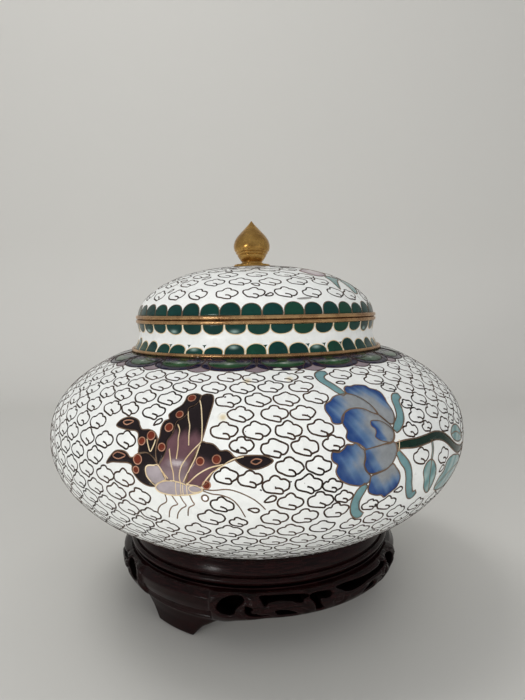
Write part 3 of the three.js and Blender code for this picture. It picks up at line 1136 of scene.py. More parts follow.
@dataclass
class LappetRow:
    """A row of rounded enamel tongues along a rim, each in its own wire."""

    surface: TurnedSurface
    start: float
    heights: Sequence[float]
    count: int
    share: float
    seed: int
    uneven: float = 0.05
    phase: float = 0.0
    wire: Wire = Wire.BROWN
    tones: Sequence[Colour] = (srgb("0d362f"), srgb("0c302c"), srgb("0b3430"), srgb("113a2c"))
    # Painted highlight: the pale patch laid on some tongues.
    painted_glint: Colour = srgb("9db6b0")
    painted_glint_share: float = 0.0
    scraps: Sequence[float] = ()
    scrap: Flat = ((-0.9, 0.5), (-0.2, 0.1), (0.2, -0.8), (0.5, 0), (1, 0.6), (0.2, 0.5))
    scrap_height: float = 0.62
    round_share: float = 0.82
    arch_power: float = 0.85
    foot_steps: Sequence[float] = (0.3, -0.2, -0.8)

    def draw(self, drawing: Drawing) -> None:
        """Lays the tongues round the rim, then the scraps of green between some of them.

        Args:
            drawing: Sheets that take them.
        """
        draws = random.Random(self.seed)
        radius, _ = self.surface.at(np.array(self.start))
        pitch = 2 * math.pi * float(radius) / self.count
        for i in range(-(self.count // 2), self.count - self.count // 2):
            half = pitch * self.share / 2 * draws.uniform(1 - self.uneven, 1 + self.uneven / 3)
            tall = self.heights[i % len(self.heights)] * draws.uniform(1 - self.uneven, 1 + self.uneven)
            azimuth = self.phase + 360 * (i + draws.uniform(-self.uneven, self.uneven) / 3) / self.count
            tone = draws.choice(self.tones)
            # Some tongues, picked by chance, get a painted highlight.
            painted_glint_on = draws.random() < self.painted_glint_share
            outline = self.tongue(half, tall)
            anchor = Anchor(self.surface, azimuth, self.start)

            def colour(points: Array, tone: Colour = tone, tall: float = tall,
                       painted_glint_on: bool = painted_glint_on) -> Array:
                """Dark tone, with a pale painted highlight on the tongues picked to carry one."""
                spot = np.exp(-((points[:, 0] + 0.5) ** 2 / 1.8 + (points[:, 1] - 0.7 * tall) ** 2 / 0.35))
                return mixed(tone, self.painted_glint, 0.8 * spot * painted_glint_on)

            drawing.cell(anchor, outline, colour, Layer.SIXTH, self.wire, FINE_WIRE, 0.5)
        for azimuth in self.scraps:
            anchor = Anchor(self.surface, azimuth, self.start + self.scrap_height * max(self.heights))
            outline = np.array(self.scrap)
            drawing.cell(anchor, outline, even(self.tones[-1]), Layer.FIRST, None, spacing=0.6)

    def tongue(self, half: float, tall: float) -> Array:
        """Outline of a tongue that stands on the rim, straight below and round above.

        Args:
            half: Half its width.
            tall: Its height, negative if it hangs.

        Returns:
            Closed outline.
        """
        turn = np.linspace(0, math.pi, 17)
        round_part = abs(tall) * self.round_share
        rise = abs(tall) - round_part + round_part * np.sin(turn) ** self.arch_power
        up = math.copysign(1, tall)
        arch = np.stack([half * np.cos(turn), up * rise], -1)
        foot = [[-half, up * y] for y in self.foot_steps]
        foot += [[half, up * y] for y in self.foot_steps[::-1]]
        outline = np.vstack([arch, foot])
        return outline if up > 0 else outline[::-1]


@dataclass
class ShoulderCollar:
    """Scalloped collar under the neck: navy lobes with green crescents, and mauve between them."""

    surface: TurnedSurface
    start: float
    count: int = 20
    drop: float = 10.7
    valley: float = 6.6
    band: float = 1.9
    chipped_lobe: int = 0
    chips: Spots = ((-3.1, -9.7, 1.7), (2.6, -9.9, 1.4))
    chip_height: float = 0.7
    patch: Flat = (
        (-2.2, -0.58), (0, -0.48), (2.2, -0.58), (4.2, -0.9), (2.6, -1.02), (0, -1.08), (-2.6, -1.02),
        (-4.2, -0.9),
    )
    brow: Flat = (
        (-3.4, -2.6), (-1.8, -1.3), (0, -0.9), (1.8, -1.3), (3.4, -2.6), (1.6, -3.3), (-1.6, -3.3),
    )
    shade: Flat = ((-3, -2.8), (0, -1.9), (3, -2.8), (1.8, -4.6), (-1.8, -4.6))
    brow_offset: float = 0.26
    overlap: float = 0.3
    lobe_top: float = -0.3
    crescent_top: float = 0.2
    green: Colour = srgb("17331f")
    moss: Colour = srgb("2f5738")
    navy: Colour = srgb("16142d")
    slate: Colour = srgb("312e3d")
    mauve: Colour = srgb("7d7076")
    # Painted highlight in the middle of each lobe.
    painted_glint: Colour = srgb("a3aba2")
    bare: Colour = srgb("dcdcd6")

    def lobe_colour(self, points: Array) -> Array:
        """Green that lightens along the middle of the crescent, with a pale painted highlight in its
        middle.

        Args:
            points: Flat points of the lobe.

        Returns:
            Colour of each point.
        """
        x, y = points.T
        streak = np.exp(-(x**2 / 16 + (y + 0.62 * self.drop) ** 2 / 1.2))
        # Mask of the painted highlight.
        spot = np.exp(-(x**2 / 1.1 + (y + 0.52 * self.drop) ** 2 / 0.25))
        field = mixed(self.green, self.moss, 0.8 * streak)
        return field * (1 - 0.9 * spot)[:, None] + np.outer(0.9 * spot, self.painted_glint)

    def scallop(self, inset: float, top: float) -> Array:
        """Outline of one lobe, as wide as its share of the shoulder all the way down.

        Args:
            inset: How far the outline is set in from the lobe's edge.
            top: How far below the start it begins.

        Returns:
            Closed outline.
        """
        across = np.linspace(-1, 1, 27)
        depth = self.valley + (self.drop - self.valley) * np.sqrt(np.maximum(1 - across**2, 0)) - inset
        side = np.linspace(inset - self.valley, -top, 8)[1:-1]
        lengths = np.concatenate([-depth, side, np.full(9, -top), side[::-1]])
        share = np.concatenate([across, np.ones(6), np.linspace(1, -1, 9), -np.ones(6)])
        radius, _ = self.surface.at(self.start + lengths)
        half = math.pi * radius / self.count + self.overlap - inset
        return np.stack([share * half, lengths], -1)

    def draw(self, drawing: Drawing) -> None:
        """Lays the mauve patches, the navy lobes, the green crescents on them and the dark brows.

        Args:
            drawing: Sheets that take them.
        """
        patch = smooth([(x, y * self.drop) for x, y in self.patch], True)
        brow, shade = smooth(self.brow, True), smooth(self.shade, True)
        for i in range(self.count):
            valley = Anchor(self.surface, 360 * i / self.count, self.start)
            drawing.cell(valley, patch, even(self.mauve), Layer.FIRST, Wire.DARK, FINE_WIRE)
        for i in range(self.count):
            azimuth = 360 * (i + 0.5) / self.count
            anchor = Anchor(self.surface, azimuth, self.start)
            lobe = self.scallop(0, self.lobe_top)
            crescent = self.scallop(self.band, self.crescent_top)
            drawing.cell(anchor, lobe, even(self.navy), Layer.THIRD, Wire.DARK, FINE_WIRE)
            drawing.cell(anchor, crescent, self.lobe_colour, Layer.FIFTH, Wire.DARK, FINE_WIRE)
            for side in (-self.brow_offset, self.brow_offset):
                beside = Anchor(self.surface, azimuth + 360 * side / self.count, self.start)
                drawing.cell(beside, shade, even(self.slate), Layer.SIXTH, None, spacing=0.6)
                drawing.cell(beside, brow, even(self.navy), Layer.TOP, None, spacing=0.6)
            if i == self.chipped_lobe:
                for x, y, size in self.chips:
                    chip = disc(0, 0, 1) * np.array([size, self.chip_height]) + np.array([x, y])
                    drawing.cell(anchor, chip, even(self.bare), Layer.SIXTH, Wire.DARK, FINE_WIRE)


@dataclass
class LidSpray:
    """A pale flower with two leaves on the lid, drawn in degrees round and millimetres up the dome."""

    surface: TurnedSurface
    azimuth: float = 55.0
    length: float = 22.0
    rim: Colour = srgb("8d7683")
    pale: Colour = srgb("b7acae")
    leaf: Colour = srgb("6c8d8c")
    fade: float = 3.4
    leaves: Flats = (
        ((46, 11.4), (46.4, 15), (47.6, 18.4), (48.6, 21.5), (53, 22.8), (58, 21.8), (62, 19.8),
         (56, 18.2), (50.6, 15.4), (48, 13)),
        ((57, 9.4), (57.6, 12), (58.8, 15.6), (60.6, 18.6), (66, 19.8), (72, 17.6), (70, 13.6),
         (64, 10.6), (60, 9)),
    )
    petals: Flats = (
        ((57.5, 39.4), (66, 40.4), (76, 39), (84, 43), (80, 48), (66, 49), (56, 45.5)),
        ((55, 35), (60, 33), (62, 29), (70, 25.4), (80, 24.6), (86, 29), (84, 35), (76, 39), (66, 40.4),
         (57.5, 39.6)),
        ((35.5, 28.6), (37, 25.4), (40, 22.8), (45, 22), (50, 22.8), (58, 25), (62, 29), (60, 33),
         (55, 35), (48, 33.4), (41, 31.4)),
    )

    def draw(self, drawing: Drawing) -> None:
        """Lays the leaves, then the petals from back to front.

        Args:
            drawing: Sheets that take them.
        """
        anchor = Anchor(self.surface, self.azimuth, self.length)

        def outline(points: Flat) -> Array:
            """Flat outline of points in degrees and lengths."""
            given = np.array(points, float)
            return smooth(anchor.flatten(np.radians(given[:, 0]), given[:, 1]), True)

        for points in self.leaves:
            drawing.cell(anchor, outline(points), even(self.leaf), Layer.FIRST, Wire.BROWN, VEIN_WIRE)
        for points in self.petals:
            edge = outline(points)

            def colour(flat: Array, edge: Array = edge) -> Array:
                """Darker along the edge, pale inside."""
                return mixed(self.rim, self.pale, ease(0, self.fade, distance_to(flat, edge, True)))

            drawing.cell(anchor, edge, colour, Layer.SECOND, Wire.BROWN, VEIN_WIRE)


@dataclass
class Flaws:
    """Chips and stains that years of use have left in the enamel, each as azimuth, length and size."""

    surface: TurnedSurface
    chips: Spots
    stains: Spots
    chip_sides: int = 9
    bare: Colour = srgb("1d1815")
    stain: Colour = srgb("cdbf9f")
    clean: Colour = srgb("e6e6e0")
    seed: int = SEED

    def draw(self, sheet: Sheet) -> None:
        """Lays ragged dark chips and soft brown stains.

        Args:
            sheet: Sheet that takes them.
        """
        draws = random.Random(self.seed)
        for azimuth, length, size in self.chips:
            anchor = Anchor(self.surface, azimuth, length)
            ragged = np.array([[draws.uniform(0.6, 1.1)] for _ in range(self.chip_sides)])
            outline = disc(0, 0, size, self.chip_sides) * ragged
            lay_enamel(sheet, anchor, outline, even(self.bare), Layer.FIRST, 0.5)
        for azimuth, length, size in self.stains:
            anchor = Anchor(self.surface, azimuth, length)

            def colour(flat: Array, size: float = size) -> Array:
                """Brown in the middle, clean at the edge."""
                return mixed(self.stain, self.clean, ease(0.1, 0.95, np.hypot(*flat.T) / size))

            lay_enamel(sheet, anchor, disc(0, 0, size), colour, Layer.STAIN, 0.5)


def plug(tree: Tree, target: Socket, value: object) -> None:
    """Links a socket to an input, or sets the input's own value.

    Args:
        tree: Tree of the node.
        target: The input.
        value: Socket to link, or value to set.
    """
    if isinstance(value, Socket):
        tree.links.new(value, target)
    else:
        target.default_value = value


def feed(tree: Tree, target: Node, **values: object) -> None:
    """Sets a node's properties and inputs by name.

    Args:
        tree: Tree of the node.
        target: The node.
        values: Properties, or values and sockets for its inputs, with underscores for spaces.
    """
    for key, value in values.items():
        if hasattr(target, key):
            setattr(target, key, value)
        else:
            plug(tree, target.inputs[key.replace("_", " ")], value)


def node(tree: Tree, kind: str, **values: object) -> Node:
    """Adds a node and sets its properties and inputs by name.

    Args:
        tree: Tree that takes the node.
        kind: Node type after ShaderNode.
        values: What feed takes.

    Returns:
        The node.
    """
    made = tree.nodes.new("ShaderNode" + kind)
    feed(tree, made, **values)
    return made


def nodes_of(name: str) -> tuple[Material, Tree, Node]:
    """New node material.

    Args:
        name: Name of the material.

    Returns:
        The material, its node tree and its Principled shader.
    """
    material = bpy.data.materials.new(name)
    material.use_nodes = True
    return material, material.node_tree, material.node_tree.nodes["Principled BSDF"]


class Group(Enum):
    """Shader groups that several finishes share."""

    PITS = "pits"
    MOTTLE = "mottle"


def new_group(group: Group, inputs: Sequence[str], outputs: Sequence[str]) -> tuple[Tree, Node, Node]:
    """New shader group whose sockets are numbers.

    Args:
        group: Which group.
        inputs: Names of its inputs.
        outputs: Names of its outputs.

    Returns:
        Its node tree, and the nodes that hold its inputs and outputs.
    """
    tree = bpy.data.node_groups.new(group.value, "ShaderNodeTree")
    for way, names in (("INPUT", inputs), ("OUTPUT", outputs)):
        for name in names:
            tree.interface.new_socket(name, in_out=way, socket_type="NodeSocketFloat")
    return tree, tree.nodes.new("NodeGroupInput"), tree.nodes.new("NodeGroupOutput")


def worked_out(tree: Tree, operation: str, *values: Socket | float) -> Socket:
    """Result of a Math node.

    Args:
        tree: Tree that takes the node.
        operation: What it works out.
        values: Sockets or numbers, in the order of its inputs.

    Returns:
        Socket of the result.
    """
    made = node(tree, "Math", operation=operation)
    for target, value in zip(made.inputs, values):
        plug(tree, target, value)
    return made.outputs[0]


def pits_group() -> Tree:
    """Small round pits and specks left in fired enamel or worn metal.

    Returns:
        Group with Scale and Share in, Mask and Height out.
    """
    tree, source, sink = new_group(Group.PITS, ("Scale", "Share"), ("Mask", "Height"))
    place = node(tree, "TexCoord").outputs["Object"]
    cells = node(tree, "TexVoronoi", Vector=place, Scale=source.outputs["Scale"], Randomness=1.0)
    chosen = node(tree, "SeparateColor", Color=cells.outputs["Color"])
    rare = worked_out(tree, "LESS_THAN", chosen.outputs["Red"], source.outputs["Share"])
    radius = worked_out(tree, "MULTIPLY_ADD", chosen.outputs["Green"], 0.08, 0.02)
    close = worked_out(tree, "LESS_THAN", cells.outputs["Distance"], radius)
    mask = worked_out(tree, "MULTIPLY", close, rare)
    feed(tree, sink, Mask=mask, Height=worked_out(tree, "SUBTRACT", 1.0, mask))
    return tree


def mottle_group() -> Tree:
    """Soft uneven tone.

    Returns:
        Group with Scale, Low and High in, and a Tone between them out.
    """
    tree, source, sink = new_group(Group.MOTTLE, ("Scale", "Low", "High"), ("Tone",))
    place = node(tree, "TexCoord").outputs["Object"]
    noise = node(tree, "TexNoise", Vector=place, Scale=source.outputs["Scale"], Detail=4.0, Roughness=0.6)
    spread = node(tree, "MapRange", Value=noise.outputs["Fac"], From_Min=0.3, From_Max=0.7,
                  To_Min=source.outputs["Low"], To_Max=source.outputs["High"])
    feed(tree, sink, Tone=spread.outputs["Result"])
    return tree


def placed(tree: Tree, group: Group, **values: float) -> Node:
    """Places a shared group, built on first use, with its own values.

    Args:
        tree: Tree that takes it.
        group: Which group.
        values: Values of its inputs.

    Returns:
        The group node.
    """
    builders = {Group.PITS: pits_group, Group.MOTTLE: mottle_group}
    shared = bpy.data.node_groups.get(group.value) or builders[group]()
    made = node(tree, "Group", node_tree=shared)
    feed(tree, made, **values)
    return made


def gloss(tree: Tree, shader: Node, scale: float, low: float, high: float) -> None:
    """Lets a shader's roughness wander between two values, in patches of a given fineness."""
    patches = placed(tree, Group.MOTTLE, Scale=scale, Low=low, High=high)
    feed(tree, shader, Roughness=patches.outputs["Tone"])


def dent(tree: Tree, shader: Node, height: Socket, strength: float, depth: float) -> None:
    """Dents a shader's surface by a height, down to a depth in metres."""
    dents = node(tree, "Bump", Height=height, Strength=strength, Distance=depth)
    feed(tree, shader, Normal=dents.outputs["Normal"])


@dataclass(frozen=True)
class Enamel:
    """Glassy enamel: one colour, or the tint of each cell, with pits, specks and a soft gloss."""

    name: str
    colour: Colour | None = None
    roughness: float = 0.2
    pit_scale: float = 520.0
    pit_share: float = 0.1
    pit_colour: Colour = srgb("4a443c")
    pit_depth: float = 0.08 * MM
    tone: tuple[float, float] = (0.93, 1.04)
    tone_scale: float = 260.0
    gloss_scale: float = 90.0
    specular: float = 0.5

    def material(self) -> Material:
        """Builds the material.

        Returns:
            The material.
        """
        material, tree, shader = nodes_of(self.name)
        pits = placed(tree, Group.PITS, Scale=self.pit_scale, Share=self.pit_share)
        mottle = placed(tree, Group.MOTTLE, Scale=self.tone_scale, Low=self.tone[0], High=self.tone[1])
        if self.colour is None:
            base = node(tree, "Attribute", attribute_name=TINT).outputs["Color"]
        else:
            base = node(tree, "RGB").outputs[0]
            base.default_value = (*self.colour, 1)
        toned = node(tree, "VectorMath", operation="MULTIPLY")
        plug(tree, toned.inputs[0], base)
        plug(tree, toned.inputs[1], mottle.outputs["Tone"])
        speckled = node(tree, "MixRGB", Fac=pits.outputs["Mask"], Color1=toned.outputs["Vector"],
                        Color2=(*self.pit_colour, 1))
        feed(tree, shader, Base_Color=speckled.outputs[0], Specular_IOR_Level=self.specular)
        gloss(tree, shader, self.gloss_scale, self.roughness * 0.8, self.roughness * 1.3)
        dent(tree, shader, pits.outputs["Height"], 0.5, self.pit_depth)
        return material


@dataclass(frozen=True)
class Metal:
    """Turned or drawn metal with tarnish in soft patches."""

    name: str
    bright: Colour
    dull: Colour
    roughness: float
    metallic: float = 1.0
    patch_scale: float = 140.0
    specular: float = 0.5
    pit_scale: float = 900.0
    pit_share: float = 0.15
    pit_depth: float = 0.05 * MM

    def material(self) -> Material:
        """Builds the material.

        Returns:
            The material.
        """
        material, tree, shader = nodes_of(self.name)
        patches = placed(tree, Group.MOTTLE, Scale=self.patch_scale, Low=0.0, High=1.0)
        colour = node(tree, "MixRGB", Fac=patches.outputs["Tone"], Color1=(*self.dull, 1),
                      Color2=(*self.bright, 1))
        feed(tree, shader, Base_Color=colour.outputs[0], Metallic=self.metallic,
             Specular_IOR_Level=self.specular)
        gloss(tree, shader, self.patch_scale * 2, self.roughness * 0.8, self.roughness * 1.25)
        pits = placed(tree, Group.PITS, Scale=self.pit_scale, Share=self.pit_share)
        dent(tree, shader, pits.outputs["Height"], 0.25, self.pit_depth)
        return material


@dataclass(frozen=True)
class Rosewood:
    """Very dark red-brown wood, waxed, with fine grain and dust-dull patches."""

    name: str = "rosewood"
    dark: Colour = srgb("070303")
    light: Colour = srgb("1f0b0b")
    roughness: float = 0.2
    specular: float = 0.15
    gloss_scale: float = 70.0
    grain_scale: float = 160.0
    grain_stretch: Triple = (1.0, 1.0, 9.0)
    grain_depth: float = 0.1 * MM

    def material(self) -> Material:
        """Builds the material.

        Returns:
            The material.
        """
        material, tree, shader = nodes_of(self.name)
        place = node(tree, "TexCoord").outputs["Object"]
        stretch = node(tree, "Mapping", Vector=place, Scale=self.grain_stretch)
        grain = node(tree, "TexNoise", Vector=stretch.outputs[0], Scale=self.grain_scale, Detail=6.0,
                     Roughness=0.65)
        colour = node(tree, "ValToRGB", Fac=grain.outputs["Fac"])
        for stop, position, tone in zip(colour.color_ramp.elements, (0.35, 0.7), (self.dark, self.light)):
            stop.position = position
            stop.color = (*tone, 1)
        feed(tree, shader, Base_Color=colour.outputs[0], Specular_IOR_Level=self.specular)
        gloss(tree, shader, self.gloss_scale, self.roughness * 0.85, self.roughness * 1.35)
        dent(tree, shader, grain.outputs["Fac"], 0.2, self.grain_depth)
        return material


class Finishes:
    """Every material of the jar and its stand."""

    def __init__(self) -> None:
        """Builds the materials once."""
        self.white = Enamel("white_enamel", srgb("e3e5e3"), 0.3, pit_share=0.16).material()
        self.colours = Enamel("coloured_enamel", None, 0.13, tone=(0.84, 1.13), specular=0.22).material()
        self.stained = Enamel("stained_enamel", None, 0.35, specular=0.3).material()
        # Dark, non-metal finish for the dark wires.
        self.dark_wire = Metal("dark_wire_finish", srgb("4a382e"), srgb("17130f"), 0.6, 0.0,
                               patch_scale=60.0, specular=0.15).material()
        self.gold_wire = Metal("gilt_wire", srgb("eedcb8"), srgb("b4966a"), 0.4, 0.2).material()
        self.copper_wire = Metal("copper_wire", srgb("b98a70"), srgb("875a44"), 0.4, 0.2).material()
        self.brown_wire = Metal("brown_wire", srgb("7d6550"), srgb("4a3a2e"), 0.45, 0.2,
                                specular=0.3).material()
        self.brass = Metal("satin_brass", srgb("d6ae7c"), srgb("9a714c"), 0.28, 0.9).material()
        self.bud_brass = Metal("polished_brass", srgb("d6aa60"), srgb("926a32"), 0.25, 0.92).material()
        self.wood = Rosewood().material()
        # Near-black wood: painted shade on the hole walls, the deep groove and the ring wall behind the
        # apron.
        self.painted_shade_wood = Rosewood("rosewood_painted_shade_wood", srgb("020101"), srgb("070303"), 0.6, 0.02).material()

    def wires(self) -> list[Material]:
        """Wire finishes in the order of their slots."""
        return [self.dark_wire, self.gold_wire, self.copper_wire, self.brown_wire]


@dataclass
class JarBody:
    """The hollow jar: a belly of two rounded halves, neck, foot ring, and the enamel work on them."""

    wall: float = 2.0
    belly_radius: float = 89.5
    belly_height: float = 73.0
    shoulder_rise: float = 43.8
    shoulder_power: float = 2.3
    bowl_drop: float = 50.0
    foot_inner: float = 41.0
    foot_outer: float = 44.6
    foot_bottom: float = 27.8
    floor_underside: float = 31.0
    dip: float = 0.75
    dip_from: float = 62.0
    dip_to: float = 55.0
    neck_foot: float = 54.3
    neck_inner: float = 50.2
    neck_face: Flat = (
        (54.2, 109.2), (53.4, 110.5), (52.7, 112.2), (52.1, 115.3), (52.6, 118.0), (52.9, 119.7),
    )
    segments: int = 288
    lower_lappets: Sequence[float] = (4.0, 4.8, 4.2, 3.2, 4.0, 4.9, 4.3, 4.4, 3.7, 3.4, 2.4, 2.8, 4.1)
    upper_lappets: Sequence[float] = (-3.8, -3.6, -3.9, -3.7)
    chips: Spots = (
        (-4.0, 10.4, 0.7), (0.4, -1.2, 0.35), (3.2, -0.4, 0.3), (-7.6, 28.8, 0.4), (25, -10.6, 0.6),
        (6.2, 1, 0.3), (74, 12, 0.5), (-64, -14, 0.5), (155, 20, 0.6),
    )
    stains: Spots = (
        (-7.4, 21, 1.8), (-2.6, 36.4, 1.9), (8.8, 37, 1.6), (210, 12, 2),
    )
    row_top: float = 38.6
    row_pitch: float = 5.53
    row_count: int = 16
    cloud_pitch: float = 9.7
    scraps: Sequence[float] = (-38.2, -28.4, -21.3, 3.3, 20.8, 28.4, 37.2)

    def belly(self, foot: float, neck: float, wall: float, count: int) -> Array:
        """Belly profile from the foot up to the neck, outside or inside.

        Args:
            foot: Radius where it starts.
            neck: Radius where it ends.
            wall: How far inside the outer face.
            count: Steps on each half.

        Returns:
            Rows of radius and height.
        """
        widest = self.belly_radius - wall
        low = widest * np.sin(np.linspace(math.asin(foot / widest), math.pi / 2, count))
        high = widest * np.sin(np.linspace(math.pi / 2, math.asin(neck / widest), count))[1:]
        bowl = self.belly_height - (self.bowl_drop - wall) * np.sqrt(1 - (low / widest) ** 2)
        rise = np.maximum(1 - (high / widest) ** 2, 0) ** (1 / self.shoulder_power)
        shoulder = self.belly_height + (self.shoulder_rise - wall) * rise
        shoulder = shoulder - self.dip * ease(self.dip_from, self.dip_to, high)
        return np.vstack([np.stack([low, bowl], -1), np.stack([high, shoulder], -1)])

    def neck(self) -> Array:
        """Outside of the neck, waisted, from the shoulder to the mouth."""
        base = self.belly(self.foot_outer, self.neck_foot, 0, 40)[-1]
        return smooth((tuple(base), *self.neck_face), False, 4)

    def shell(self, finishes: Finishes) -> None:
        """Builds the white shell, outside and inside.

        Args:
            finishes: Materials of the jar.
        """
        inner = self.belly(self.foot_outer + self.wall, self.neck_inner, self.wall, 30)
        floor = self.floor_underside + self.wall
        inner = inner[inner[:, 1] > floor]
        profile = np.vstack([
            [[0, self.floor_underside], [self.foot_inner - 1, self.floor_underside],
             [self.foot_inner, self.foot_bottom + 0.3], [self.foot_inner + 0.4, self.foot_bottom],
             [self.foot_outer - 0.4, self.foot_bottom], [self.foot_outer, self.foot_bottom + 0.4]],
            self.belly(self.foot_outer + 1, self.neck_foot, 0, 70),
            self.neck()[1:],
            [[self.neck_inner, self.neck_face[-1][1]]],
            inner[::-1],
            [[self.foot_outer + self.wall - 2, floor], [0, floor]],
        ])
        sheet = Sheet("jar_shell")
        turn_profile(sheet, profile, self.segments, False)
        sheet.piece([finishes.white], "enamel", "jar_body")

    def decorate(self, finishes: Finishes) -> None:
        """Lays the butterflies, peonies, collar, lappets and cloud ground.

        Args:
            finishes: Materials of the jar.
        """
        wall = TurnedSurface(self.belly(self.foot_outer + 1, self.neck_foot, 0, 400), from_widest=True)
        neck = TurnedSurface(self.neck())
        drawing = Drawing(Sheet("jar_enamel"), Sheet("jar_motif_wires"))
        mauve = {"deep": srgb("6d3f6b"), "middle": srgb("a287a4"), "pale": srgb("aa9fab")}
        for motif in (
            Butterfly(Anchor(wall, azimuth=-14.45, length=8.8)),
            Peony(Anchor(wall, azimuth=29.44, length=6.8)),
            Butterfly(Anchor(wall, azimuth=128, length=7)),
            Peony(Anchor(wall, azimuth=178, length=6.8), **mauve),
            Peony(Anchor(wall, azimuth=-90, length=6.8, turn=180)),
            ShoulderCollar(wall, float(wall.lengths[-1]) - 1.2),
            LappetRow(neck, 1.0, self.lower_lappets, 43, 0.95, SEED, painted_glint_share=0.15, wire=Wire.GOLD,
                      scraps=self.scraps),
            LappetRow(neck, float(neck.lengths[-1]), self.upper_lappets, 39, 0.96, SEED + 1,
                      painted_glint_share=0.4, wire=Wire.GOLD, phase=1.1),
        ):
            motif.draw(drawing)
        drawing.enamel.piece([finishes.colours], "enamel")
        drawing.wires.piece(finishes.wires(), "brass")
        upper, lower = Sheet("jar_upper_cloud_wires"), Sheet("jar_lower_cloud_wires")
        rows = [self.row_top - self.row_pitch * i for i in range(self.row_count)]
        CloudGround(wall, rows, self.cloud_pitch, drawing.kept, SEED).draw(upper, lower)
        upper.piece(finishes.wires(), "brass")
        lower.piece(finishes.wires(), "brass")
        flaws = Sheet("jar_flaws")
        Flaws(wall, self.chips, self.stains).draw(flaws)
        flaws.piece([finishes.stained], "enamel")

    def build(self, finishes: Finishes) -> None:
        """Builds the jar and its enamel."""
        self.shell(finishes)
        self.decorate(finishes)


@dataclass
class Lid:
    """The domed lid with its lappets, clouds and a small flower."""

    wall: float = 2.0
    base: float = 123.0
    radius: float = 52.5
    rise: float = 21.0
    profile_power: float = 1.7
    crown_power: float = 2.45
    segments: int = 224
    rows: Sequence[float] = (9.6, 16.9, 23.7, 30.4, 37.2, 44.0)
    lappets: Sequence[float] = (4.7, 4.5, 4.8, 4.6, 4.9)
    cloud_pitch: float = 11.2
    smear_size: tuple[float, float] = (3.2, 0.5)
    smear_colour: Colour = srgb("8c8b88")

    def dome(self, wall: float, count: int) -> Array:
        """Dome profile from its base to its crown, outside or inside.

        Args:
            wall: How far inside the outer face.
            count: Points on it.

        Returns:
            Rows of radius and height.
        """
        rise = np.sin(np.linspace(0, math.pi / 2, count))
        share = np.maximum(1 - rise**self.profile_power, 0) ** (1 / self.crown_power)
        radius = (self.radius - wall) * share
        radius[-1] = 0
        return np.stack([radius, self.base + (self.rise - wall) * rise], -1)

    def build(self, finishes: Finishes) -> None:
        """Builds the shell and lays its enamel.

        Args:
            finishes: Materials of the lid.
        """
        shell = Sheet("lid_shell")
        profile = np.vstack([self.dome(self.wall, 24)[::-1], self.dome(0, 60)])
        turn_profile(shell, profile, self.segments, False)
        shell.piece([finishes.white], "enamel", "lid")
        dome = TurnedSurface(self.dome(0, 300))
        drawing = Drawing(Sheet("lid_enamel"), Sheet("lid_motif_wires"))
        LappetRow(dome, 0.0, self.lappets, 42, 0.97, SEED + 2, phase=-1.7).draw(drawing)
        LidSpray(dome).draw(drawing)
        drawing.enamel.piece([finishes.colours], "enamel")
        drawing.wires.piece(finishes.wires(), "brass")
        clouds = Sheet("lid_cloud_wires")
        ground = CloudGround(dome, self.rows, self.cloud_pitch, drawing.kept, SEED + 3, fillers=500)
        ground.draw(clouds, clouds)
        clouds.piece(finishes.wires(), "brass")
        smear = Sheet("lid_smear")
        anchor = Anchor(dome, azimuth=21.2, length=6.5, turn=4)
        streak = disc(0, 0, 1, 24) * np.array(self.smear_size)
        lay_enamel(smear, anchor, streak, even(self.smear_colour), Layer.SMEAR, 0.6)
        smear.piece([finishes.stained], "enamel")


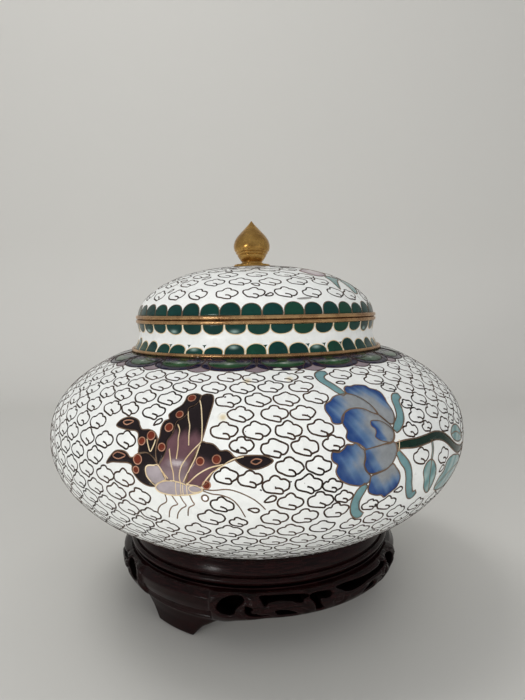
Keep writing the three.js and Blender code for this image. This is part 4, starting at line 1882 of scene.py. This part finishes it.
@dataclass
class BrassWork:
    """Turned brass: neck ring, mouth rim, lid rim with its flange, washer and finial."""

    ring_inner: float = 53.9
    ring_outer: float = 55.7
    ring_bottom: float = 107.75
    ring_top: float = 109.15
    rim_outer: float = 53.6
    mouth_inner: float = 50.2
    mouth_bottom: float = 119.7
    mouth_top: float = 121.2
    lid_inner: float = 49.0
    flange: float = 49.9
    flange_bottom: float = 116.8
    lid_bottom: float = 121.45
    lid_top: float = 123.0
    finial_shift: float = -1.4
    washer_radius: float = 8.2
    washer_bottom: float = 144.0
    washer_top: float = 145.1
    finial_side: Flat = (
        (4.5, 146.3), (5.1, 146.8), (5.9, 148.0), (6.7, 149.3), (7.4, 150.5), (7.9, 151.6),
        (8.15, 152.8), (8.05, 154.2), (7.5, 155.9), (6.4, 157.6), (4.9, 159.3), (3.25, 161.0),
        (1.65, 162.7), (0.7, 163.8), (0.0, 164.7),
    )
    finial_base: Flat = ((0, -0.1), (4.7, -0.1), (5.0, 0.2), (5.0, 0.6), (4.6, 0.9))
    finial_grooves: Sequence[float] = (149.4, 150.6)
    groove_depth: float = 0.34
    groove_width: float = 0.24
    ring_crease: float = 0.7
    seam_azimuth: float = -23.1
    seam_depth: float = 1.1
    seam_width: float = 0.012
    waves: Spots = ((0.05, 5, 0), (0.04, 11, 1), (0.02, 23, 0))
    bulge_share: float = 0.7
    segments: int = 320
    finial_segments: int = 96

    def bead(self, inner: float, outer: float, bottom: float, top: float,
             crease: float = 0.0) -> Array:
        """Closed section of a ring with a rounded outer face, its top sloping in to a crease.

        Args:
            inner: Radius of the inner face.
            outer: Radius of the outer face.
            bottom: Height of the underside.
            top: Height of the upper side.
            crease: How much lower the upper side is at the inner face.

        Returns:
            Rows of radius and height.
        """
        turn = np.linspace(-math.pi / 2, math.pi / 2, 9)
        half, middle = (top - bottom) / 2, (top + bottom) / 2
        bulge = half * self.bulge_share
        face = np.stack([outer - bulge + bulge * np.cos(turn), middle + half * np.sin(turn)], -1)
        return np.vstack([[[inner, bottom]], face, [[inner, top - crease]]])

    def hand_made(self, azimuth: Array) -> Array:
        """Slight waviness of a hand-fitted ring."""
        return sum(size * np.sin(count * azimuth + start) for size, count, start in self.waves)

    def split_ring(self, azimuth: Array) -> Array:
        """The same, with the small open seam where the ring's ends meet."""
        gap = nearest_turn(azimuth - math.radians(self.seam_azimuth))
        return self.hand_made(azimuth) - self.seam_depth * np.exp(-((gap / self.seam_width) ** 2))

    def finial(self) -> Array:
        """Profile of the bud, with a base bead, a waist, turned grooves and a drawn-out point.

        Returns:
            Rows of radius and height.
        """
        side = smooth(self.finial_side, False, 14)
        for height in self.finial_grooves:
            side[:, 0] -= self.groove_depth * np.exp(-(((side[:, 1] - height) / self.groove_width) ** 2))
        side[-1, 0] = 0
        base = np.array(self.finial_base) + np.array([0, self.washer_top])
        return np.vstack([base, side])

    def build(self, finishes: Finishes) -> None:
        """Builds the five brass pieces.

        Args:
            finishes: Materials of the brass.
        """
        ring = self.bead(self.ring_inner, self.ring_outer, self.ring_bottom, self.ring_top,
                         self.ring_crease)
        mouth = self.bead(self.mouth_inner, self.rim_outer, self.mouth_bottom, self.mouth_top)
        rim = self.bead(self.lid_inner, self.rim_outer, self.lid_bottom, self.lid_top)
        flange = ((self.lid_inner, self.flange_bottom), (self.flange, self.flange_bottom),
                  (self.flange, self.lid_bottom))
        rim = np.vstack([flange, rim[1:]])
        washer = self.bead(0, self.washer_radius, self.washer_bottom, self.washer_top)
        for part, section, segments, swell in (
            ("neck_ring", ring, self.segments * 2, self.split_ring),
            ("mouth_rim", mouth, self.segments, self.hand_made),
            ("lid_rim", rim, self.segments, self.hand_made),
        ):
            sheet = Sheet(f"{part}_turned")
            turn_profile(sheet, section, segments, True, swell=swell)
            sheet.piece([finishes.brass], "brass", part)
        for part, section in (("finial_washer", washer), ("finial", self.finial())):
            sheet = Sheet(f"{part}_turned")
            turn_profile(sheet, section, self.finial_segments, False, self.finial_shift)
            sheet.piece([finishes.bud_brass], "brass", part)


@dataclass
class Stand:
    """The carved stand: a moulded seat ring and plate, and a carved apron on three bracket feet."""

    seat_floor: float = 27.4
    plate_underside: float = 22.2
    apron_top: float = 23.3
    apron_bottom: float = 10.9
    wall_inner: float = 51.0
    apron_inner: float = 54.0
    apron_radius: float = 60.0
    foot_count: int = 3
    first_panel: float = -34.0
    foot_offsets: Sequence[float] = (-4.3, 4.0, 0.0)
    panel_half: float = 16.6
    segments: int = 240
    spacing: float = 0.6
    hole_bevel: float = 0.9
    cut_depth: float = 0.7
    cut_width: float = 0.4
    edge_round: float = 0.5
    bevel_reach: tuple[float, float] = (-0.3, 0.9)
    round_reach: tuple[float, float] = (-0.4, 0.8)
    rail_slope: float = 0.4
    foot_thickness: float = 5.6
    moulding: Flat = (
        (55.0, 22.0), (55.6, 22.5), (56.9, 22.8), (57.7, 23.2), (57.9, 23.6), (57.4, 23.9),
        (56.0, 24.0), (55.4, 24.2), (55.9, 24.5), (57.4, 24.7), (58.2, 25.2), (58.5, 26.0),
        (58.2, 26.8), (57.5, 27.2), (56.5, 27.2), (56.3, 27.5), (56.7, 27.8), (56.7, 28.4),
        (56.4, 29.6), (55.8, 31.2), (55.1, 32.4), (54.6, 32.7), (54.0, 32.6), (50.6, 30.0),
        (50.0, 27.4),
    )
    # Heights of the groove band that wears the near-black wood, painted shade in the deep groove.
    groove: tuple[float, float] = (23.8, 24.6)
    foot_side: Flat = ((9, 0), (9.8, 0.6), (11.2, 2.4), (13.8, 5), (17, 7), (20.4, 9), (24.5, 10.6))
    end_holes: Flats = (
        ((-41, 17.6), (-40.3, 20), (-38.2, 21.9), (-35.2, 22.7), (-32.2, 22.5), (-31.6, 21),
         (-33, 19.3), (-34.5, 17.6), (-35, 16), (-37, 15.3), (-39.6, 15.8)),
        ((-31.2, 18.7), (-29.6, 19), (-28.6, 18.1), (-29.5, 17.2), (-28.6, 16.2), (-26, 15.6),
         (-23.4, 15.7), (-25.6, 15), (-29, 15.1), (-30.9, 16.2)),
        ((-21, 17), (-19.4, 17.5), (-16.2, 16.9), (-13.6, 15.4), (-17, 15.3), (-20, 15.6)),
    )
    scroll_holes: Flats = (
        ((-26.3, 22.6), (-21.2, 22.7), (-16, 22.6), (-10.9, 22.2), (-9.3, 21.2), (-11, 20.6),
         (-11.6, 19.5), (-13.6, 19.7), (-15.4, 20.5), (-19.5, 20.9), (-23, 20.5), (-24.5, 19.3),
         (-25.5, 20.8)),
        ((-8.7, 21.6), (-6.4, 22), (-1.6, 21.5), (-0.7, 19.8), (-2.2, 19.1), (-4.9, 19.6), (-5, 17.6),
         (-3.8, 15.5), (-6.3, 15.5), (-7.1, 18.1), (-9, 20.6)),
        ((1.4, 22), (4.2, 22.3), (8.8, 22.2), (15.5, 21.7), (22.9, 21.7), (28, 22.1), (30.4, 20.6),
         (24.9, 19.7), (16.2, 19.6), (13.3, 18.9), (8.2, 18.8), (5.3, 19.4), (3.1, 20.7)),
    )
    bay_lower: Flat = (
        (-41, 11.2), (-36, 12.2), (-30, 13.1), (-24.6, 14.2), (24.6, 14.2), (30, 13.1), (36, 12.2),
        (41, 11.2),
    )
    foot_radius: float = 55.3
    panel_face: Flat = (
        (10.9, 58.2), (11.5, 59), (12.3, 59), (12.7, 58.3), (13.1, 58.9), (13.6, 59.2), (14, 58.5),
        (14.6, 59.4), (15.2, 60.2), (17.6, 61.2), (20.6, 61.7), (21, 61.6), (21.4, 61.1), (23.3, 59.6),
    )
    bay_face: Flat = (
        (10.9, 58.6), (12.4, 60), (14.2, 61.2), (16.2, 62.2), (19.5, 62.7), (22.2, 62), (22.9, 61.2),
        (23.3, 60),
    )
    foot_face: Flat = ((0, 54.8), (0.8, 55.3), (5.5, 55.5), (9, 56.1), (10.9, 57.2))
    end_cuts: Flats = (
        ((-30.8, 22.6), (-29.6, 20.6), (-31, 19.2), (-33, 18.2), (-33.6, 16.6), (-32.4, 15.6)),
        ((-27.2, 22.8), (-26.8, 20.6), (-26.6, 18), (-27.6, 16)),
        ((-43.4, 15), (-42.2, 18.9), (-39.5, 22), (-36.1, 23.6)),
    )
    scroll_cuts: Flats = (
        ((-24.5, 18.2), (-21, 18.9), (-17, 18.6), (-13, 17.6), (-10, 16)),
        ((-1.6, 18.4), (1.2, 20), (4.2, 18.6), (4.4, 16.6), (1.8, 15.8), (0.2, 17), (1.4, 18.2),
         (2.8, 17.5)),
        ((7.5, 17.2), (14, 18), (20, 18.2), (26, 17.4)),
    )

    def arc(self, points: Flat, side: int = 1) -> Array:
        """Points of the apron from degrees to millimetres along it.

        Args:
            points: Degrees from the bay's middle, and heights.
            side: -1 for the mirror image.

        Returns:
            Rows of arc length and height, in the same direction round.
        """
        flat = np.array(points, float)
        flat[:, 0] *= side * math.radians(1) * self.apron_radius
        return flat if side > 0 else flat[::-1]

    def reach(self) -> float:
        """Half the length of one bay with half a foot at each end."""
        return math.pi / self.foot_count * self.apron_radius

    def lower_edge(self, left_offset: float, right_offset: float) -> Array:
        """Lower edge of one bay from its left panel's middle to its right panel's middle.

        Args:
            left_offset: Degrees from the left panel's middle to its foot's middle.
            right_offset: The same for the right panel.

        Returns:
            Rows of arc length from the bay's middle and height.
        """
        arc = math.radians(1) * self.apron_radius
        side = smooth(self.foot_side, False, 3) * np.array([self.apron_radius / self.foot_radius, 1])
        left = np.stack([left_offset * arc - self.reach() + side[:, 0], side[:, 1]], -1)
        right = np.stack([right_offset * arc + self.reach() - side[::-1, 0], side[::-1, 1]], -1)
        rail = np.linspace(left[-1], right[0], 90)[1:-1]
        from_foot = np.minimum(rail[:, 0] - left[-1, 0], right[0, 0] - rail[:, 0])
        carved = np.interp(rail[:, 0] / arc, *np.array(self.bay_lower).T)
        rail[:, 1] = np.minimum(carved, left[-1, 1] + self.rail_slope * from_foot)
        sole_left = np.linspace([-self.reach(), 0], left[0], 10)[:-1]
        sole_right = np.linspace(right[-1], [self.reach(), 0], 10)[1:]
        return np.vstack([sole_left, left, rail, right, sole_right])

    def outline(self, lower: Array) -> Array:
        """Outline of one bay, cut through the middle of each panel.

        Args:
            lower: Its lower edge.

        Returns:
            Rows of arc length from the bay's middle and height.
        """
        start, end = lower[0][0], lower[-1][0]
        ends = np.linspace(0, self.apron_top, 26)
        top = np.linspace([end, self.apron_top], [start, self.apron_top], 160)
        up = np.stack([np.full(24, end), ends[1:-1]], -1)
        down = np.stack([np.full(24, start), ends[-2:0:-1]], -1)
        return np.vstack([lower, up, top, down])

    def face(self, x: Array, z: Array) -> Array:
        """Radius of the face before carving: moulded panels, plainer bay, and feet set back under them.

        Args:
            x: Arc lengths from the bay's middle.
            z: Heights.

        Returns:
            Radius at each point.
        """
        panel_end = self.reach() - math.radians(self.panel_half) * self.apron_radius
        panel = ease(panel_end - 0.4, panel_end + 0.8, np.abs(x))
        mould = np.interp(z, *np.array(self.panel_face).T)
        bay = np.interp(z, *np.array(self.bay_face).T)
        foot = np.interp(z, *np.array(self.foot_face).T)
        upper = panel * mould + (1 - panel) * bay
        return np.where(z < self.apron_bottom - 0.02, foot, upper)

    def bay(self, sheet: Sheet, number: int) -> None:
        """Adds one bay of the carved apron, with half a panel and the foot under it at each end.

        Args:
            sheet: Sheet that takes it.
            number: Which bay, counted from the first panel.
        """
        holes = [smooth(self.arc(hole), True, 5) for hole in self.scroll_holes]
        lines = [smooth(self.arc(line), False, 5) for line in self.scroll_cuts]
        for side in (1, -1):
            holes += [smooth(self.arc(hole, side), True, 5) for hole in self.end_holes]
            lines += [smooth(self.arc(line, side), False, 5) for line in self.end_cuts]
        following = (number + 1) % self.foot_count
        lower = self.lower_edge(self.foot_offsets[number], self.foot_offsets[following])
        flat, triangles = triangulate(self.outline(lower), holes, self.spacing)
        x, z = flat[:, 0], flat[:, 1]
        radius = self.face(x, z)
        edge = np.min([distance_to(flat, hole, True) for hole in holes], 0)
        radius = radius - self.hole_bevel * (1 - ease(*self.bevel_reach, edge))
        cut = np.min([distance_to(flat, line, False) for line in lines], 0)
        radius = radius - self.cut_depth * np.exp(-((cut / self.cut_width) ** 2))
        from_edge = distance_to(flat, lower, False)
        radius = radius - self.edge_round * (1 - ease(*self.round_reach, from_edge))
        back = np.where(z < self.apron_bottom, radius - self.foot_thickness, self.apron_inner)
        faces = [list(map(int, t)) for t in triangles]
        faces += [[int(i) + len(flat) for i in t[::-1]] for t in triangles]
        ends = np.isclose(x, x.min()) | np.isclose(x, x.max())
        walls = []
        for a, b in border(triangles):
            if not (ends[a] and ends[b]):
                in_hole = max(edge[a], edge[b]) < 0.05
                (walls if in_hole else faces).append([b, a, a + len(flat), b + len(flat)])
        middle = math.radians(self.first_panel + (number + 0.5) * 360 / self.foot_count)
        azimuth = middle + x / self.apron_radius
        points = np.vstack([around(radius, azimuth, z), around(back, azimuth, z)])
        sheet.add(points, faces, WHITE)
        # The hole walls wear the near-black wood, painted shade in the piercings.
        sheet.add(points, walls, WHITE, 1)

    def build(self, finishes: Finishes) -> None:
        """Builds the stand as one piece.

        Args:
            finishes: Materials of the wood.
        """
        sheet = Sheet("stand_carved")
        rounded = smooth(self.moulding, False, 3)
        profile = np.vstack([[[0, self.plate_underside]], rounded, [[0, self.seat_floor]]])
        height = profile[:, 1]
        first, last = np.flatnonzero((height > self.groove[0]) & (height < self.groove[1]))[[0, -1]]
        turn_profile(sheet, profile[:first + 1], self.segments, False)
        # The groove band wears the near-black wood, painted shade.
        turn_profile(sheet, profile[first:last + 1], self.segments, False, slot=1)
        turn_profile(sheet, profile[last:], self.segments, False)
        # A ring wall behind the apron, in near-black wood: painted shade seen through the holes.
        low, high = self.bay_lower[len(self.bay_lower) // 2][1], self.seat_floor
        near, far = self.wall_inner, self.apron_inner + 0.1
        behind = np.array(((near, low), (far, low), (far, high), (near, high)))
        turn_profile(sheet, behind, self.segments, True, slot=1)
        for number in range(self.foot_count):
            self.bay(sheet, number)
        sheet.piece([finishes.wood, finishes.painted_shade_wood], "rosewood", "stand", weld=0.01)


@dataclass(frozen=True)
class Lamp:
    """A square soft light: its place, side in metres and watts, and whether glossy things mirror it."""

    name: str
    place: Triple
    size: float
    power: float
    mirrored: bool = False
    colour: Colour = (1.0, 0.99, 0.97)
    aim: Triple = (0, 0, 0.07)

    def build(self) -> None:
        """Adds the light, facing the jar."""
        data = bpy.data.lights.new(self.name, "AREA")
        data.size, data.energy, data.color = self.size, self.power, self.colour
        lamp = set_out(self.name, data)
        lamp.location = self.place
        lamp.visible_glossy = self.mirrored
        lamp.rotation_euler = (Vector(self.aim) - Vector(self.place)).to_track_quat("-Z", "Y").to_euler()


@dataclass
class Studio:
    """Pale floor that sweeps up behind, soft light, and the camera at the photograph's angle."""

    distance: float = 0.2415
    height: float = 0.1259
    yaw: float = 0.66
    pitch: float = 4.68
    roll: float = 0.85
    focal_pixels: float = 526.0
    picture_height: float = 700.0
    floor_half: float = 1.4
    sweep_start: float = 0.42
    sweep_radius: float = 0.25
    wall_height: float = 1.6
    floor_colour: Colour = srgb("cbcac6")
    floor_roughness: float = 0.6
    room_colour: Colour = (0.98, 0.985, 1.0)
    room_strength: float = 0.36
    lamps: Sequence[Lamp] = (
        Lamp("window", (-0.4, 0.04, 1.25), 0.42, 3.4),
        Lamp("ceiling", (0.0, 0.32, 1.25), 1.3, 3.8),
        Lamp("fill", (-0.6, -0.9, 0.1), 0.6, 8.2),
        Lamp("bounce", (0.72, -0.82, 0.08), 0.7, 6.4),
        Lamp("gleam", (-1.0, -1.25, 0.16), 0.17, 2.6, mirrored=True),
    )

    def camera(self) -> None:
        """Places the camera."""
        yaw, pitch, roll = (math.radians(v) for v in (self.yaw, self.pitch, self.roll))
        level = math.cos(pitch)
        ahead = Vector((math.sin(yaw) * level, math.cos(yaw) * level, -math.sin(pitch)))
        right = Vector((math.cos(yaw), -math.sin(yaw), 0))
        up = right.cross(ahead)
        rolled_right = math.cos(roll) * right - math.sin(roll) * up
        rolled_up = math.sin(roll) * right + math.cos(roll) * up
        data = bpy.data.cameras.new("camera")
        data.sensor_width = 36
        data.lens = self.focal_pixels / self.picture_height * data.sensor_width
        data.clip_start = 0.01
        camera = set_out("camera", data)
        turn = Matrix((rolled_right, rolled_up, -ahead)).transposed()
        camera.matrix_world = Matrix.Translation((0, -self.distance, self.height)) @ turn.to_4x4()
        bpy.context.scene.camera = camera

    def floor(self) -> None:
        """Builds the floor and the sweep behind it."""
        turn = np.linspace(0, math.pi / 2, 16)
        start, bend = self.sweep_start, self.sweep_radius
        path = [(-self.floor_half, 0.0)]
        path += [(start + bend * math.sin(t), bend * (1 - math.cos(t))) for t in turn]
        path.append((start + bend, self.wall_height))
        points = [(side * self.floor_half, y, z) for y, z in path for side in (-1, 1)]
        faces = [(2 * i, 2 * i + 1, 2 * i + 3, 2 * i + 2) for i in range(len(path) - 1)]
        mesh = bpy.data.meshes.new("floor")
        mesh.from_pydata(points, [], faces)
        mesh.polygons.foreach_set("use_smooth", [True] * len(faces))
        material, tree, shader = nodes_of("pale_floor")
        feed(tree, shader, Base_Color=(*self.floor_colour, 1), Roughness=self.floor_roughness)
        mesh.materials.append(material)
        floor = set_out("floor", mesh)

    def light(self) -> None:
        """Sets the soft room light and the lamps."""
        world = bpy.data.worlds.new("room")
        world.use_nodes = True
        feed(world.node_tree, world.node_tree.nodes["Background"], Color=(*self.room_colour, 1),
             Strength=self.room_strength)
        bpy.context.scene.world = world
        for lamp in self.lamps:
            lamp.build()
        bpy.context.scene.view_settings.view_transform = "Standard"

    def build(self) -> None:
        """Sets the whole stage."""
        self.camera()
        self.floor()
        self.light()


def main() -> None:
    """Builds the stage and every piece of the jar around the CAD frame."""
    logging.basicConfig(level=logging.INFO, format="%(message)s")
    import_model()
    Studio().build()
    finishes = Finishes()
    JarBody().build(finishes)
    Lid().build(finishes)
    BrassWork().build(finishes)
    Stand().build(finishes)


if __name__ == "__main__":
    main()
